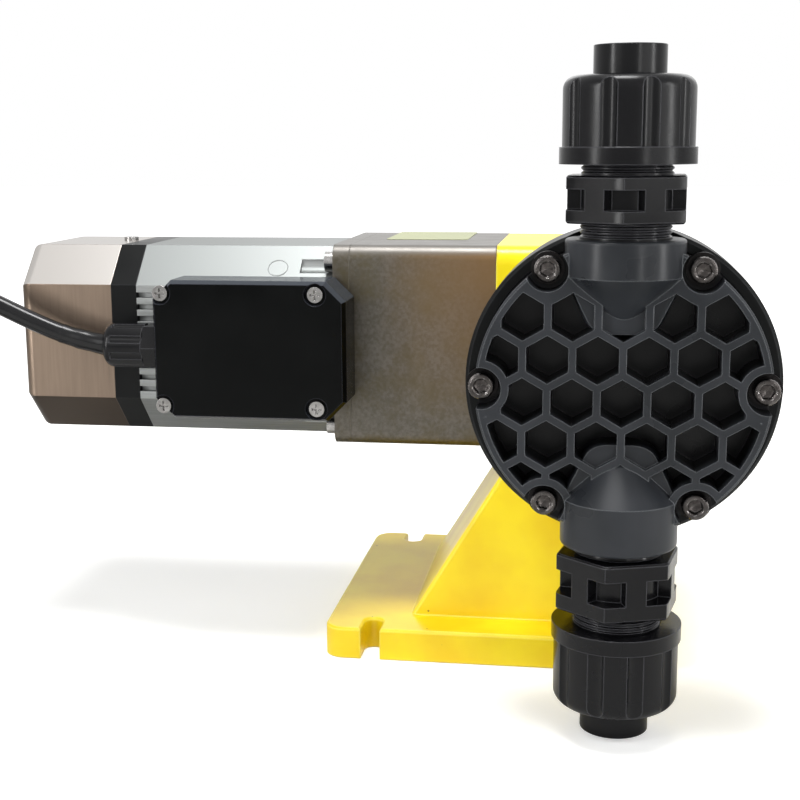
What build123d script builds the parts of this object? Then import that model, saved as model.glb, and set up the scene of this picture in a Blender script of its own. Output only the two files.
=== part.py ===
from build123d import *
import math
import os

# Motor-driven diaphragm metering pump, in millimetres.
# Origin: centre of the base plate's underside. +X runs along the gear motor towards the pump-head side,
# +Y runs from the pump head back to the stroke knob, +Z is up.

# ---- base and pedestal ----
base_length = 150.0
base_width = 150.0
base_thick = 14.0
base_corner = 9.0
slot_spacing_x = 108.0
slot_inset = 10.5
slot_r = 4.25
foot_left = -38.5
foot_right = 60.0
foot_half_depth = 54.0
wall_lean = 0.615
right_lean = 0.11
pedestal_fillet = 2.0

# ---- drive line and housing ----
axis_height = 135.0
frame_half = 45.0
housing_left = -2.0
housing_right = 80.0
housing_wall = 8.0
housing_fillet = 8.0
head_x = 52.0

# ---- gearbox ----
gearbox_length = 65.0
gearbox_corner = 6.0
gearbox_wall = 5.0
end_wall = 8.0
flange_thick = 7.5
gearbox_screw_offset = 37.0
gearbox_screw_r = 2.6
gearbox_screw_head_r = 4.6
gearbox_screw_head = 4.5

# ---- gear train ----
gear_module = 0.8
pinion_teeth = 12
wheel_teeth = 48
tooth_fill = 0.38
addendum = 0.75
dedendum = 1.15
gear_width = 9.0
pinion_width = 13.0
gear_end_gap = 4.0
stage_gap = 5.0
idler_direction = 225.0
idler_shaft_r = 4.0
output_shaft_r = 8.0
run_clear = 0.05
seat_depth = 4.5

# ---- bearings ----
output_bearing_r = 14.0
output_bearing_width = 8.0
motor_bearing_r = 13.0
motor_bearing_width = 7.0
bearing_lip = 2.5

# ---- motor ----
motor_length = 91.5
motor_half = 43.2
motor_chamfer = 17.0
motor_bore_r = 37.0
fin_count = 9
fin_pitch = 5.4
fin_groove = 2.4
fin_depth = 3.2
pad_half_height = 26.0
pad_left_inset = 18.0
pad_right_inset = 5.0
rear_bell_length = 12.0
rear_bell_tongue = 9.0
rotor_shaft_r = 6.0
rotor_r = 22.0
air_gap = 0.6
stator_length = 62.0
stator_inset = 14.0
winding_length = 9.0
winding_inset = 3.0
fan_cover_length = 44.0
cover_sheet = 1.6
cover_fillet = 5.0
fan_r = 34.0
fan_hub_r = 12.0
fan_blade_count = 7
fan_blade_thick = 2.0
fan_width = 20.0
fan_clear = 6.0
grille_hole_r = 3.2
grille_rings = ((9.0, 6), (18.0, 12), (27.0, 18))
cover_screw_r = 1.6
cover_screw_head_r = 3.4
cover_screw_head = 1.8

# ---- terminal box ----
box_length = 86.0
box_height = 61.0
box_wall = 2.6
box_depth = 18.0
box_stand_off = 3.0
box_rise = 0.5
box_left_reach = 76.2
lid_thick = 4.6
lid_corner_cut = 8.5
lid_bevel = 3.0
lid_bevel_drop = 1.4
lid_screw_inset_x = 7.5
lid_screw_inset_z = 5.6
lid_screw_r = 1.8
lid_screw_head_r = 3.4
lid_screw_head = 2.2
lid_recess_r = 4.8
lid_recess_depth = 2.8
lid_boss_r = 3.8
lead_slot_half = 8.0
lead_slot_height = 8.0
lead_slot_clear = 3.0
block_size = (36.0, 8.0, 18.0)
block_drop = 4.0
block_shift = 10.0
block_floor_margin = 2.0
block_barrier = 1.6
block_ways = 4
gland_y = -55.0
gland_hole_r = 6.0
gland_hex_r = 10.6
gland_hex_length = 7.0
gland_nut_r = 9.9
gland_nut_length = 18.5
gland_collar = 4.5
gland_thread_r = 5.8
gland_thread_length = 8.0
gland_mouth = 1.0

# ---- power cord ----
cord_r = 4.2
coil_mean_r = 48.0
coil_centre = (-303.0, -78.0)
coil_layers = 2
cord_points = (
    (-190.0, -55.5, 137.6),
    (-210.0, -57.0, 145.5),
    (-236.0, -59.0, 158.5),
    (-270.0, -56.0, 167.0),
    (-304.0, -48.0, 160.0),
    (-331.0, -36.0, 137.0),
    (-347.0, -11.6, 107.9),
    (-353.5, -4.0, 82.6),
    (-355.0, -6.5, 53.3),
    (-355.2, -21.4, 27.9),
    (-355.2, -48.3, 9.7),
    (-355.2, -72.0, 4.3),
)
tail_angle = 45.0
tail_length = 36.0
plug_length = 40.0
plug_width = 26.0
plug_height = 22.0
plug_neck_r = 6.5
plug_neck_length = 20.0
pin_length = 17.0
pin_width = 6.0
pin_thick = 1.6

# ---- head adapter ----
adapter_front = -100.0
adapter_flange_r = 43.0
adapter_flange_thick = 8.0
adapter_barrel_r = 31.0
adapter_waist_r = 27.0
adapter_foot_r = 39.0
adapter_foot_thick = 8.0
adapter_bore_r = 21.0
adapter_end_wall = 10.0
adapter_screw_circle_r = 34.5
adapter_screw_r = 2.6
adapter_screw_head_r = 4.4
adapter_screw_head = 5.0
adapter_pilot = 5.0

# ---- pump head stack ----
plate_thick = 12.0
plate_r = 59.0
head_r = 54.0
head_fit = 0.3
lip_reach = 15.0
head_thick = 31.0
rim_wall = 2.9
cell_pitch = 18.24
cell_wall = 2.86
cell_rows = 4
cell_columns = 4
cell_drop = 4.6
pocket_depth = 17.0
bolt_circle_r = 52.0
bolt_angles = (0.0, 57.5, 122.5, 180.0, 237.5, 302.5)
bolt_r = 3.0
bolt_hole_r = 3.3
bolt_head_r = 5.0
bolt_head_height = 6.0
bolt_socket_flats = 5.0
bolt_socket_depth = 3.0
washer_r = 6.2
washer_thick = 1.6
counterbore_r = 7.8
counterbore_depth = 12.0
nut_flats = 10.0
nut_thick = 5.2
valve_forward = 22.0
boss_r = 21.9
boss_clear = 0.8
boss_edge = 1.2
cone_start = 41.5
nose_end_r = 2.0
core_length = 21.0
core_end_r = 12.5
core_round = 8.0
core_inset = 2.5
discharge_boss = 55.0
suction_boss = 59.5
chamber_r = 35.0
chamber_clear = 0.4
diaphragm_r = 45.0
diaphragm_thick = 3.4
diaphragm_fit = 0.2
insert_r = 11.0
insert_thick = 3.0
port_r = 4.5
link_height = 31.0

# ---- valves ----
thread_r = 16.7
socket_depth = 9.0
socket_fit = 0.05
socket_end_gap = 0.2
neck_gap_discharge = 5.8
neck_gap_suction = 2.8
hex_corner_r = 21.4
hex_discharge = 17.0
hex_suction = 21.8
hex_band = 3.8
hex_pocket_width = 13.0
hex_pocket_depth = 4.0
collar_gap_discharge = 3.8
collar_gap_suction = 6.0
union_discharge = 31.0
union_suction = 32.4
union_r = 24.6
union_collar = 6.0
union_collar_step = 0.9
union_round = 5.0
union_flutes = 10
union_flute_r = 4.2
union_flute_depth = 1.6
union_wall_top = 4.5
union_bore_r = 19.0
union_thread_fit = 0.05
spigot_r = 13.0
spigot_bore_r = 10.0
spigot_flange_r = 18.6
spigot_flange_thick = 4.0
spigot_fit = 0.3
spigot_rise_discharge = 10.4
spigot_rise_suction = 10.6
spigot_socket = 16.0
ball_r = 6.35
ball_lift = 3.0
ball_clear = 0.6
seat_ring_r = 9.5
seat_bore_r = 4.6
seat_thick = 4.0
seat_touch = 0.05
stop_gap = 0.3
through_r = 4.5

# ---- push rod and eccentric ----
rod_r = 8.0
eccentric_offset = 3.0
stroke = 6.0
eccentric_r = 15.0
eccentric_width = 14.0
eccentric_hub_wall = 3.2
eccentric_hub_length = 6.0
bearing_inset = 1.0
follower_r = 21.0
follower_clear = 0.3
yoke_wall = 6.0
yoke_side_gap = 1.0
yoke_width = 13.0
bush_r = 13.0
spring_wire_r = 1.1
spring_coil_r = 14.0
spring_turns = 5.0
spring_gap = 0.3

# ---- stroke adjuster ----
bush_flange_r = 21.0
bush_flange_thick = 5.0
bush_sleeve_r = 13.0
bush_sleeve_length = 28.0
adjuster_pilot_r = 14.0
spindle_r = 6.0
spindle_gap = 6.4
knob_r = 20.0
knob_cap = 6.0
knob_flutes = 16
knob_flute_r = 1.8
knob_skirt_gap = 1.5
knob_skirt_r = 17.0
drive_flat = 4.6

# ---- worked-out places ----
motor_face = housing_left - gearbox_length
flange_face = motor_face - flange_thick
body_back = flange_face - motor_length
bell_back = body_back - rear_bell_length
cover_back = bell_back - fan_cover_length
plate_front = adapter_front - plate_thick
head_back = plate_front
head_front = head_back - head_thick
lip_front = plate_front - lip_reach
valve_y = head_back - valve_forward
housing_bottom = axis_height - frame_half
housing_top = axis_height + frame_half
gear_distance = gear_module * (pinion_teeth + wheel_teeth) / 2
idler_y = gear_distance * math.cos(math.radians(idler_direction))
idler_z = axis_height + gear_distance * math.sin(math.radians(idler_direction))
first_gear_x = motor_face + gear_end_gap
second_gear_x = first_gear_x + gear_width + stage_gap
rod_sweep = follower_r + eccentric_offset + follower_clear
chamber_depth = stroke + chamber_clear
box_left = flange_face - box_left_reach
box_right = box_left + box_length
box_z = axis_height + box_rise
box_back = -(motor_half + box_stand_off)
lid_back = box_back - box_depth
lid_front = lid_back - lid_thick


stand_up = (Align.CENTER, Align.CENTER, Align.MIN)


def cyl_x(radius, x0, x1, y=0.0, z=axis_height):
    return Pos(x0, y, z) * Rot(0, 90, 0) * Cylinder(radius, x1 - x0, align=stand_up)


def cyl_y(radius, y0, y1, x=head_x, z=axis_height):
    return Pos(x, y0, z) * Rot(-90, 0, 0) * Cylinder(radius, y1 - y0, align=stand_up)


def cyl_z(radius, z0, z1, x=0.0, y=0.0):
    return Pos(x, y, z0) * Cylinder(radius, z1 - z0, align=stand_up)


def block(x0, x1, y0, y1, z0, z1):
    return Pos(x0, y0, z0) * Box(x1 - x0, y1 - y0, z1 - z0, align=(Align.MIN, Align.MIN, Align.MIN))


def along_x(sketch, x0, length):
    """Extrude a sketch drawn in (y, z) about the drive axis along +X."""
    plane = Plane(origin=(x0, 0, axis_height), x_dir=(0, 1, 0), z_dir=(1, 0, 0))
    return extrude(plane * sketch, amount=length)


def along_y(sketch, y0, length):
    """Extrude a sketch drawn in (x, z) about the head axis along +Y, seen from the front."""
    plane = Plane(origin=(head_x, y0, axis_height), x_dir=(1, 0, 0), z_dir=(0, -1, 0))
    return extrude(plane * sketch, amount=-length)


def polar(radius, angle):
    return radius * math.cos(math.radians(angle)), radius * math.sin(math.radians(angle))


def write(name, shape):
    export_step(shape, f"parts/{name}.step")


def octagon(half, cut):
    return chamfer(Rectangle(2 * half, 2 * half).vertices(), cut)


# ---- base and pedestal ----
def base_stand():
    plate = extrude(RectangleRounded(base_length, base_width, base_corner), base_thick)
    slot_y = base_width / 2 - slot_inset
    for sx in (-1, 1):
        for sy in (-1, 1):
            x = sx * slot_spacing_x / 2
            plate -= cyl_z(slot_r, 0, base_thick, x, sy * slot_y)
            inner, outer = sorted((sy * slot_y, sy * base_width / 2))
            plate -= block(x - slot_r, x + slot_r, inner, outer, 0, base_thick)
    plate = chamfer(plate.faces().sort_by(Axis.Z)[-1].outer_wire().edges(), 1.0)
    rise = housing_bottom - base_thick
    top_left = foot_left + wall_lean * rise
    top_right = foot_right + right_lean * rise
    foot = Plane.XY.offset(base_thick) * Pos((foot_left + foot_right) / 2, 0) * Rectangle(
        foot_right - foot_left, 2 * foot_half_depth)
    top = Plane.XY.offset(housing_bottom) * Pos((top_left + top_right) / 2, 0) * Rectangle(
        top_right - top_left, 2 * frame_half)
    pedestal = loft([foot, top])
    pedestal = fillet(pedestal.edges().filter_by(lambda e: abs(e.tangent_at(0.5).Z) > 0.5), pedestal_fillet)
    return plate + pedestal


def drive_housing():
    size = housing_right - housing_left
    shell = block(housing_left, housing_right, -frame_half, frame_half, housing_bottom, housing_top)
    shell = fillet(shell.edges().filter_by(lambda e: e.center().X > housing_left + 1), housing_fillet)
    cavity = block(housing_left + housing_wall, housing_right - housing_wall,
                   -frame_half + housing_wall, frame_half - housing_wall,
                   housing_bottom + housing_wall, housing_top - housing_wall)
    shell -= cavity
    shell -= cyl_x(output_bearing_r + bearing_lip, housing_left, housing_left + size / 2)
    shell -= cyl_x(output_bearing_r + 2 * bearing_lip, housing_left + size / 2, housing_right)
    shell -= cyl_y(adapter_bore_r, -frame_half, 0)
    shell -= cyl_y(adjuster_pilot_r, 0, frame_half)
    for x, z in side_screw_places():
        shell -= cyl_x(lid_screw_r, housing_right - seat_depth, housing_right, x, z)
    for x, z in ring_places(adapter_screw_circle_r, 4, 45):
        shell -= cyl_y(adapter_screw_r, -frame_half, -frame_half + housing_wall, head_x + x, axis_height + z)
    return shell


def ring_places(radius, count, first):
    return [polar(radius, first + i * 360 / count) for i in range(count)]


def side_screw_places():
    radius = output_bearing_r + 2 * bearing_lip + 6
    return [(y, axis_height + z) for y, z in ring_places(radius, 4, 45)]


def side_cover():
    pilot_r = output_bearing_r + 2 * bearing_lip - socket_fit
    flange_r = pilot_r + 11
    cover = cyl_x(flange_r, housing_right, housing_right + 4)
    cover = fillet(cover.edges().sort_by(Axis.X)[-1], 1.5)
    cover += cyl_x(pilot_r, housing_right - housing_wall, housing_right)
    cover += cyl_x(pilot_r - 5, housing_right + 4, housing_right + 6)
    cover -= cyl_x(output_bearing_r, housing_right - housing_wall, housing_right)
    cover -= cyl_x(output_shaft_r + 1, housing_right, housing_right + 2)
    for y, z in side_screw_places():
        cover -= cyl_x(lid_screw_r + 0.2, housing_right - 1, housing_right + 5, y, z)
    return cover


def side_cover_screws():
    screws = []
    for y, z in side_screw_places():
        screw = cyl_x(lid_screw_r - 0.05, housing_right - seat_depth + 0.5, housing_right + 4, y, z)
        screw += cyl_x(lid_screw_head_r, housing_right + 4, housing_right + 4 + lid_screw_head, y, z)
        screws.append(screw)
    return Compound(children=screws)


# ---- gearbox ----
def square_frame(half, corner):
    return RectangleRounded(2 * half, 2 * half, corner)


def corner_places(offset):
    return [(sy * offset, sz * offset) for sy in (-1, 1) for sz in (-1, 1)]


def gearbox_case():
    case = along_x(square_frame(frame_half, gearbox_corner), motor_face, gearbox_length)
    inner = frame_half - gearbox_wall
    cavity = along_x(square_frame(inner, gearbox_corner), motor_face, gearbox_length - end_wall)
    for y, z in corner_places(gearbox_screw_offset):
        cavity -= cyl_x(gearbox_screw_head_r + 1.5, motor_face, housing_left, y, axis_height + z)
    case -= cavity
    boss_start = housing_left - end_wall - 2 * output_bearing_width - seat_depth
    case += cyl_x(output_bearing_r + 4, boss_start, housing_left - end_wall)
    case += cyl_x(2 * idler_shaft_r, boss_start, housing_left - end_wall, idler_y, idler_z)
    case -= cyl_x(output_bearing_r, housing_left - output_bearing_width, housing_left)
    case -= cyl_x(output_bearing_r, boss_start, boss_start + output_bearing_width)
    case -= cyl_x(output_shaft_r + 2, boss_start, housing_left)
    case -= cyl_x(idler_shaft_r + run_clear, boss_start, boss_start + end_wall, idler_y, idler_z)
    for y, z in corner_places(gearbox_screw_offset):
        case -= cyl_x(gearbox_screw_r + run_clear, motor_face, motor_face + 20, y, axis_height + z)
    return case


def gearbox_screws():
    screws = []
    for y, z in corner_places(gearbox_screw_offset):
        screw = cyl_x(gearbox_screw_r, flange_face, motor_face + 18, y, axis_height + z)
        screw += cyl_x(gearbox_screw_head_r, flange_face - gearbox_screw_head, flange_face, y, axis_height + z)
        screws.append(screw)
    return Compound(children=screws)


def motor_flange():
    plate = along_x(square_frame(frame_half, gearbox_corner), flange_face, flange_thick)
    plate -= cyl_x(motor_bearing_r, flange_face, flange_face + motor_bearing_width)
    plate -= cyl_x(rotor_shaft_r + 2, flange_face, motor_face)
    plate -= cyl_x(idler_shaft_r + run_clear, motor_face - seat_depth, motor_face, idler_y, idler_z)
    for y, z in corner_places(gearbox_screw_offset):
        plate -= cyl_x(gearbox_screw_r + 0.4, flange_face, motor_face, y, axis_height + z)
    return plate


def ring_x(outer, inner, x0, x1, y=0.0, z=axis_height):
    return cyl_x(outer, x0, x1, y, z) - cyl_x(inner, x0, x1, y, z)


def output_bearings():
    boss_start = housing_left - end_wall - 2 * output_bearing_width - seat_depth
    starts = (boss_start, housing_left - output_bearing_width, housing_right - housing_wall)
    return Compound(children=[
        ring_x(output_bearing_r, output_shaft_r + run_clear, x, x + output_bearing_width) for x in starts])


def motor_bearings():
    starts = (flange_face, bell_back + 2)
    return Compound(children=[
        ring_x(motor_bearing_r, rotor_shaft_r + run_clear, x, x + motor_bearing_width) for x in starts])


# ---- gear train ----
def gear_profile(teeth, phase):
    """Straight-flanked teeth; one tooth stands on the given angle in the (y, z) plane."""
    pitch_r = gear_module * teeth / 2
    tip_r = pitch_r + addendum * gear_module
    root_r = pitch_r - dedendum * gear_module
    step = 360 / teeth
    tip_half = tooth_fill * step * 0.28
    root_half = tooth_fill * step * 0.80
    points = []
    for i in range(teeth):
        middle = phase + i * step
        points.append(polar(root_r, middle - root_half))
        points.append(polar(tip_r, middle - tip_half))
        points.append(polar(tip_r, middle + tip_half))
        points.append(polar(root_r, middle + root_half))
    return make_face(Polyline(*points, close=True))


def gear_x(teeth, phase, x0, width, y, z):
    plane = Plane(origin=(x0, y, z), x_dir=(0, 1, 0), z_dir=(1, 0, 0))
    return extrude(plane * gear_profile(teeth, phase), amount=width)


def wheel(phase, x0, bore_r, y, z):
    gear = gear_x(wheel_teeth, phase, x0, gear_width, y, z)
    gear -= cyl_x(bore_r, x0, x0 + gear_width, y, z)
    return gear


def rotor_shaft():
    shaft = cyl_x(rotor_shaft_r, cover_back + fan_clear + cover_sheet, motor_face + 1)
    overhang = (pinion_width - gear_width) / 2
    pinion_x = first_gear_x - overhang
    shaft += gear_x(pinion_teeth, idler_direction, pinion_x, pinion_width, 0, axis_height)
    shaft += cyl_x(gear_module * pinion_teeth / 2 - dedendum * gear_module, motor_face, pinion_x)
    return shaft


def idler_shaft():
    boss_start = housing_left - end_wall - 2 * output_bearing_width - seat_depth
    shaft = cyl_x(idler_shaft_r, motor_face - seat_depth + 0.3, first_gear_x + gear_width + 1, idler_y, idler_z)
    root_r = gear_module * pinion_teeth / 2 - dedendum * gear_module
    overhang = (pinion_width - gear_width) / 2
    pinion_x = second_gear_x - overhang
    shaft += cyl_x(root_r, first_gear_x, boss_start, idler_y, idler_z)
    shaft += gear_x(pinion_teeth, idler_direction - 180, pinion_x, pinion_width, idler_y, idler_z)
    shaft += cyl_x(idler_shaft_r, boss_start - 1, boss_start + end_wall - 0.5, idler_y, idler_z)
    return shaft


def idler_gear():
    phase = idler_direction - 180 + 180 / wheel_teeth
    return wheel(phase, first_gear_x, idler_shaft_r, idler_y, idler_z)


def output_gear():
    phase = idler_direction + 180 / wheel_teeth
    return wheel(phase, second_gear_x, output_shaft_r, 0, axis_height)


def output_shaft():
    return cyl_x(output_shaft_r, second_gear_x - 2, housing_right)


def eccentric():
    x0 = head_x - eccentric_width / 2
    disc = cyl_x(eccentric_r, x0, x0 + eccentric_width, -eccentric_offset)
    disc += cyl_x(output_shaft_r + eccentric_hub_wall, x0 - eccentric_hub_length, x0)
    disc -= cyl_x(output_shaft_r, x0 - eccentric_hub_length, x0 + eccentric_width)
    return disc


def eccentric_bearing():
    x0 = head_x - eccentric_width / 2
    x1 = x0 + eccentric_width
    return ring_x(follower_r, eccentric_r, x0 + bearing_inset, x1 - bearing_inset, -eccentric_offset)


# ---- motor ----
def fin_grooves(x0, x1, side, low, high):
    grooves = []
    count = fin_count // 2
    for i in range(-count, count + 1):
        z = axis_height + i * fin_pitch
        if low < z < high:
            near, far = sorted((side * motor_half, side * (motor_half - fin_depth)))
            grooves.append(block(x0, x1, near, far, z - fin_groove / 2, z + fin_groove / 2))
    return grooves


def motor_body():
    body = along_x(octagon(motor_half, motor_chamfer), body_back, motor_length)
    body -= cyl_x(motor_bore_r, body_back, flange_face)
    top = axis_height + motor_half
    bottom = axis_height - motor_half
    for groove in fin_grooves(body_back, flange_face, 1, bottom, top):
        body -= groove
    for groove in fin_grooves(body_back, body_back + pad_left_inset, -1, bottom, top):
        body -= groove
    for groove in fin_grooves(flange_face - pad_right_inset, flange_face, -1, bottom, top):
        body -= groove
    for i in range(-2, 3):
        y = i * fin_pitch
        body -= block(body_back, flange_face, y - fin_groove / 2, y + fin_groove / 2, bottom, bottom + fin_depth)
    for y, z in corner_places(gearbox_screw_offset):
        reach = gearbox_screw_head + 12
        body -= cyl_x(gearbox_screw_head_r + 0.6, flange_face - reach, flange_face, y, axis_height + z)
    return body


def rear_bell():
    bell = along_x(octagon(motor_half, motor_chamfer), bell_back, rear_bell_length)
    inner = motor_half - cover_sheet - 0.3
    bell += along_x(octagon(inner, motor_chamfer), bell_back - rear_bell_tongue, rear_bell_tongue)
    bell -= cyl_x(motor_bearing_r, bell_back + 2, bell_back + 2 + motor_bearing_width)
    bell -= cyl_x(motor_bearing_r - bearing_lip, bell_back - rear_bell_tongue, body_back)
    bell -= cyl_x(motor_bore_r - 2, bell_back + 2 + motor_bearing_width, body_back)
    bell -= cyl_x(motor_bore_r - 2, bell_back - rear_bell_tongue, bell_back - 1)
    for y, z, direction in cover_screw_places():
        bell -= side_hole(cover_screw_r, y, z, direction, rear_bell_tongue)
    return bell


def cover_screw_places():
    return [(0, 1, "z"), (0, -1, "z"), (1, 0, "y"), (-1, 0, "y")]


def side_hole(radius, sy, sz, direction, depth):
    x = bell_back - rear_bell_tongue / 2
    if direction == "z":
        near, far = sorted((sz * motor_half, sz * (motor_half - depth)))
        return cyl_z(radius, axis_height + near, axis_height + far, x, 0)
    near, far = sorted((sy * motor_half, sy * (motor_half - depth)))
    return cyl_y(radius, near, far, x, axis_height)


def side_head(radius, sy, sz, direction, height):
    x = bell_back - rear_bell_tongue / 2
    if direction == "z":
        near, far = sorted((sz * motor_half, sz * (motor_half + height)))
        return cyl_z(radius, axis_height + near, axis_height + far, x, 0)
    near, far = sorted((sy * motor_half, sy * (motor_half + height)))
    return cyl_y(radius, near, far, x, axis_height)


def fan_cover():
    cover = along_x(octagon(motor_half, motor_chamfer), cover_back, fan_cover_length)
    cover = fillet(cover.edges().group_by(Axis.X)[0], cover_fillet)
    inner_half = motor_half - cover_sheet
    inner_chamfer = motor_chamfer - cover_sheet * (2 - math.sqrt(2))
    cover -= along_x(octagon(inner_half, inner_chamfer), cover_back + cover_sheet, fan_cover_length - cover_sheet)
    for radius, count in grille_rings:
        for y, z in ring_places(radius, count, 0):
            cover -= cyl_x(grille_hole_r, cover_back, cover_back + cover_sheet, y, axis_height + z)
    for y, z, direction in cover_screw_places():
        cover -= side_hole(cover_screw_r + 0.1, y, z, direction, cover_sheet)
    return cover


def fan_cover_screws():
    screws = []
    for y, z, direction in cover_screw_places():
        screw = side_hole(cover_screw_r - 0.05, y, z, direction, rear_bell_tongue / 2)
        screw += side_head(cover_screw_head_r, y, z, direction, cover_screw_head)
        screws.append(screw)
    return Compound(children=screws)


def cooling_fan():
    fan_x = cover_back + cover_sheet + fan_clear
    fan = ring_x(fan_hub_r, rotor_shaft_r, fan_x, fan_x + fan_width)
    fan += ring_x(fan_r, rotor_shaft_r, fan_x + fan_width - 2, fan_x + fan_width)
    blade = block(fan_x, fan_x + fan_width, -fan_blade_thick / 2, fan_blade_thick / 2,
                  axis_height + fan_hub_r - 1, axis_height + fan_r)
    axis = Axis((0, 0, axis_height), (1, 0, 0))
    for i in range(fan_blade_count):
        fan += blade.rotate(axis, i * 360 / fan_blade_count)
    return fan


def stator_core():
    start = body_back + stator_inset
    return ring_x(motor_bore_r, rotor_r + air_gap, start, start + stator_length)


def stator_windings():
    start = body_back + stator_inset
    outer = motor_bore_r - winding_inset
    inner = rotor_r + air_gap + winding_inset
    left = ring_x(outer, inner, start - winding_length, start)
    right = ring_x(outer, inner, start + stator_length, start + stator_length + winding_length)
    return Compound(children=[left, right])


def rotor_core():
    start = body_back + stator_inset
    return ring_x(rotor_r, rotor_shaft_r, start, start + stator_length)


# ---- terminal box ----
def lid_screw_places():
    xs = (box_left + lid_screw_inset_x - 3.5, box_right - lid_screw_inset_x - 5.5)
    half = box_height / 2 - lid_screw_inset_z
    return [(x, box_z + s * half) for x in xs for s in (-1, 1)]


def box_outline(y0, length, cut):
    plane = Plane(origin=((box_left + box_right) / 2, y0, box_z), x_dir=(1, 0, 0), z_dir=(0, -1, 0))
    outline = chamfer(Rectangle(box_length, box_height).vertices(), cut)
    return extrude(plane * outline, amount=length)


def terminal_box():
    box = box_outline(box_back, box_depth, lid_corner_cut)
    cavity = block(box_left + box_wall, box_right - box_wall, lid_back, box_back - box_wall,
                   box_z - box_height / 2 + box_wall, box_z + box_height / 2 - box_wall)
    for x, z in lid_screw_places():
        cavity -= cyl_y(lid_boss_r + 1.5, lid_back, box_back, x, z)
    corner = box_outline(box_back, box_depth, lid_corner_cut + box_wall)
    box -= cavity & corner
    pad_left = body_back + pad_left_inset
    pad_right = flange_face - pad_right_inset
    box += block(pad_left, pad_right, box_back, -motor_half, box_z - pad_half_height, box_z + pad_half_height)
    box -= cyl_x(gland_hole_r, box_left, box_left + box_wall, gland_y, box_z)
    middle = (pad_left + pad_right) / 2
    slot_low = box_z - block_drop + block_size[2] / 2 + lead_slot_clear
    box -= block(middle - lead_slot_half, middle + lead_slot_half, box_back - box_wall, -motor_half,
                 slot_low, slot_low + lead_slot_height)
    for x, z in lid_screw_places():
        box -= cyl_y(lid_screw_r, lid_back, lid_back + 10, x, z)
    return box


def terminal_lid():
    lid = box_outline(lid_back, lid_thick, lid_corner_cut)
    lid = chamfer(lid.faces().sort_by(Axis.Y)[0].edges(), lid_bevel, lid_bevel_drop)
    for x, z in lid_screw_places():
        lid -= cyl_y(lid_recess_r, lid_front, lid_front + lid_recess_depth, x, z)
        lid -= cyl_y(lid_screw_r + 0.2, lid_front, lid_back, x, z)
    return lid


def terminal_lid_screws():
    screws = []
    seat = lid_front + lid_recess_depth
    for x, z in lid_screw_places():
        screw = cyl_y(lid_screw_head_r, seat - lid_screw_head, seat, x, z)
        screw += cyl_y(lid_screw_r - 0.05, seat, lid_back + 8, x, z)
        slot = block(x - 2.2, x + 2.2, seat - lid_screw_head, seat - 0.9, z - 0.5, z + 0.5)
        slot += block(x - 0.5, x + 0.5, seat - lid_screw_head, seat - 0.9, z - 2.2, z + 2.2)
        screws.append(screw - slot)
    return Compound(children=screws)


def terminal_block():
    length, height, width = block_size
    seat = box_back - box_wall
    x0 = (box_left + box_right) / 2 + block_shift - length / 2
    low = box_z - block_drop - width / 2
    body = block(x0, x0 + length, seat - height, seat, low, low + width)
    pitch = length / block_ways
    for i in range(block_ways):
        left = x0 + i * pitch + block_barrier / 2
        body -= block(left, left + pitch - block_barrier, seat - height, seat - height / 2,
                      low + block_floor_margin, low + width - block_floor_margin)
    return body


def hexagon_x(corner_r, x0, length, y, z):
    plane = Plane(origin=(x0, y, z), x_dir=(0, 1, 0), z_dir=(1, 0, 0))
    return extrude(plane * RegularPolygon(corner_r, 6), amount=length)


def gland_body():
    body = hexagon_x(gland_hex_r, box_left - gland_hex_length, gland_hex_length, gland_y, box_z)
    body += cyl_x(gland_thread_r, box_left, box_left + gland_thread_length, gland_y, box_z)
    body += cyl_x(gland_thread_r + 1, box_left - gland_hex_length - gland_collar,
                  box_left - gland_hex_length, gland_y, box_z)
    body -= cyl_x(cord_r, box_left - gland_hex_length - gland_collar, box_left + gland_thread_length,
                  gland_y, box_z)
    return body


def gland_nut():
    right = box_left - gland_hex_length
    left = right - gland_nut_length
    nut = cyl_x(gland_nut_r, left, right, gland_y, box_z)
    nut = fillet(nut.edges().sort_by(Axis.X)[0], 3.5)
    for i in range(8):
        y, z = polar(gland_nut_r + 2.2, i * 45 + 22.5)
        nut -= cyl_x(2.9, left + 4, right, gland_y + y, box_z + z)
    nut -= cyl_x(gland_thread_r + 1 + 0.1, right - gland_collar, right, gland_y, box_z)
    nut -= cyl_x(cord_r, left, right, gland_y, box_z)
    nut -= Pos(left, gland_y, box_z) * Rot(0, 90, 0) * Cone(
        cord_r + gland_mouth, cord_r, gland_mouth, align=stand_up)
    return nut


# ---- power cord ----
def route_radii(points):
    radii = []
    for before, here, after in zip(points, points[1:], points[2:]):
        run_in = Vector(*here) - Vector(*before)
        run_out = Vector(*after) - Vector(*here)
        turn = math.radians(run_in.get_angle(run_out))
        radii.append(0.45 * min(run_in.length, run_out.length) / math.tan(turn / 2))
    return radii


def cord_start():
    return (box_left - gland_hex_length - gland_nut_length, gland_y, box_z)


def power_cord():
    points = (cord_start(),) + cord_points
    radii = route_radii(points)
    print("cord radii", [round(r) for r in radii])
    path = FilletPolyline(*points, radius=radii)
    start = Plane(origin=points[0], z_dir=path % 0)
    tube = sweep(start * Circle(cord_r), path=path)
    inside = cyl_x(cord_r, points[0][0], box_left + gland_thread_length, gland_y, box_z)
    plain_volume = math.pi * cord_r ** 2 * path.length
    print("cord length", round(path.length), "volume ratio", round(tube.volume / plain_volume, 3))
    return tube + inside


def power_cord_coil():
    width = coil_layers * 2 * cord_r
    section = Pos(coil_mean_r, width / 2) * RectangleRounded(width, width, cord_r * 0.98)
    plane = Plane(origin=(coil_centre[0], coil_centre[1], 0), x_dir=(1, 0, 0), z_dir=(0, -1, 0))
    return revolve(plane * section, Axis((coil_centre[0], coil_centre[1], 0), (0, 0, 1)), 360)


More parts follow.
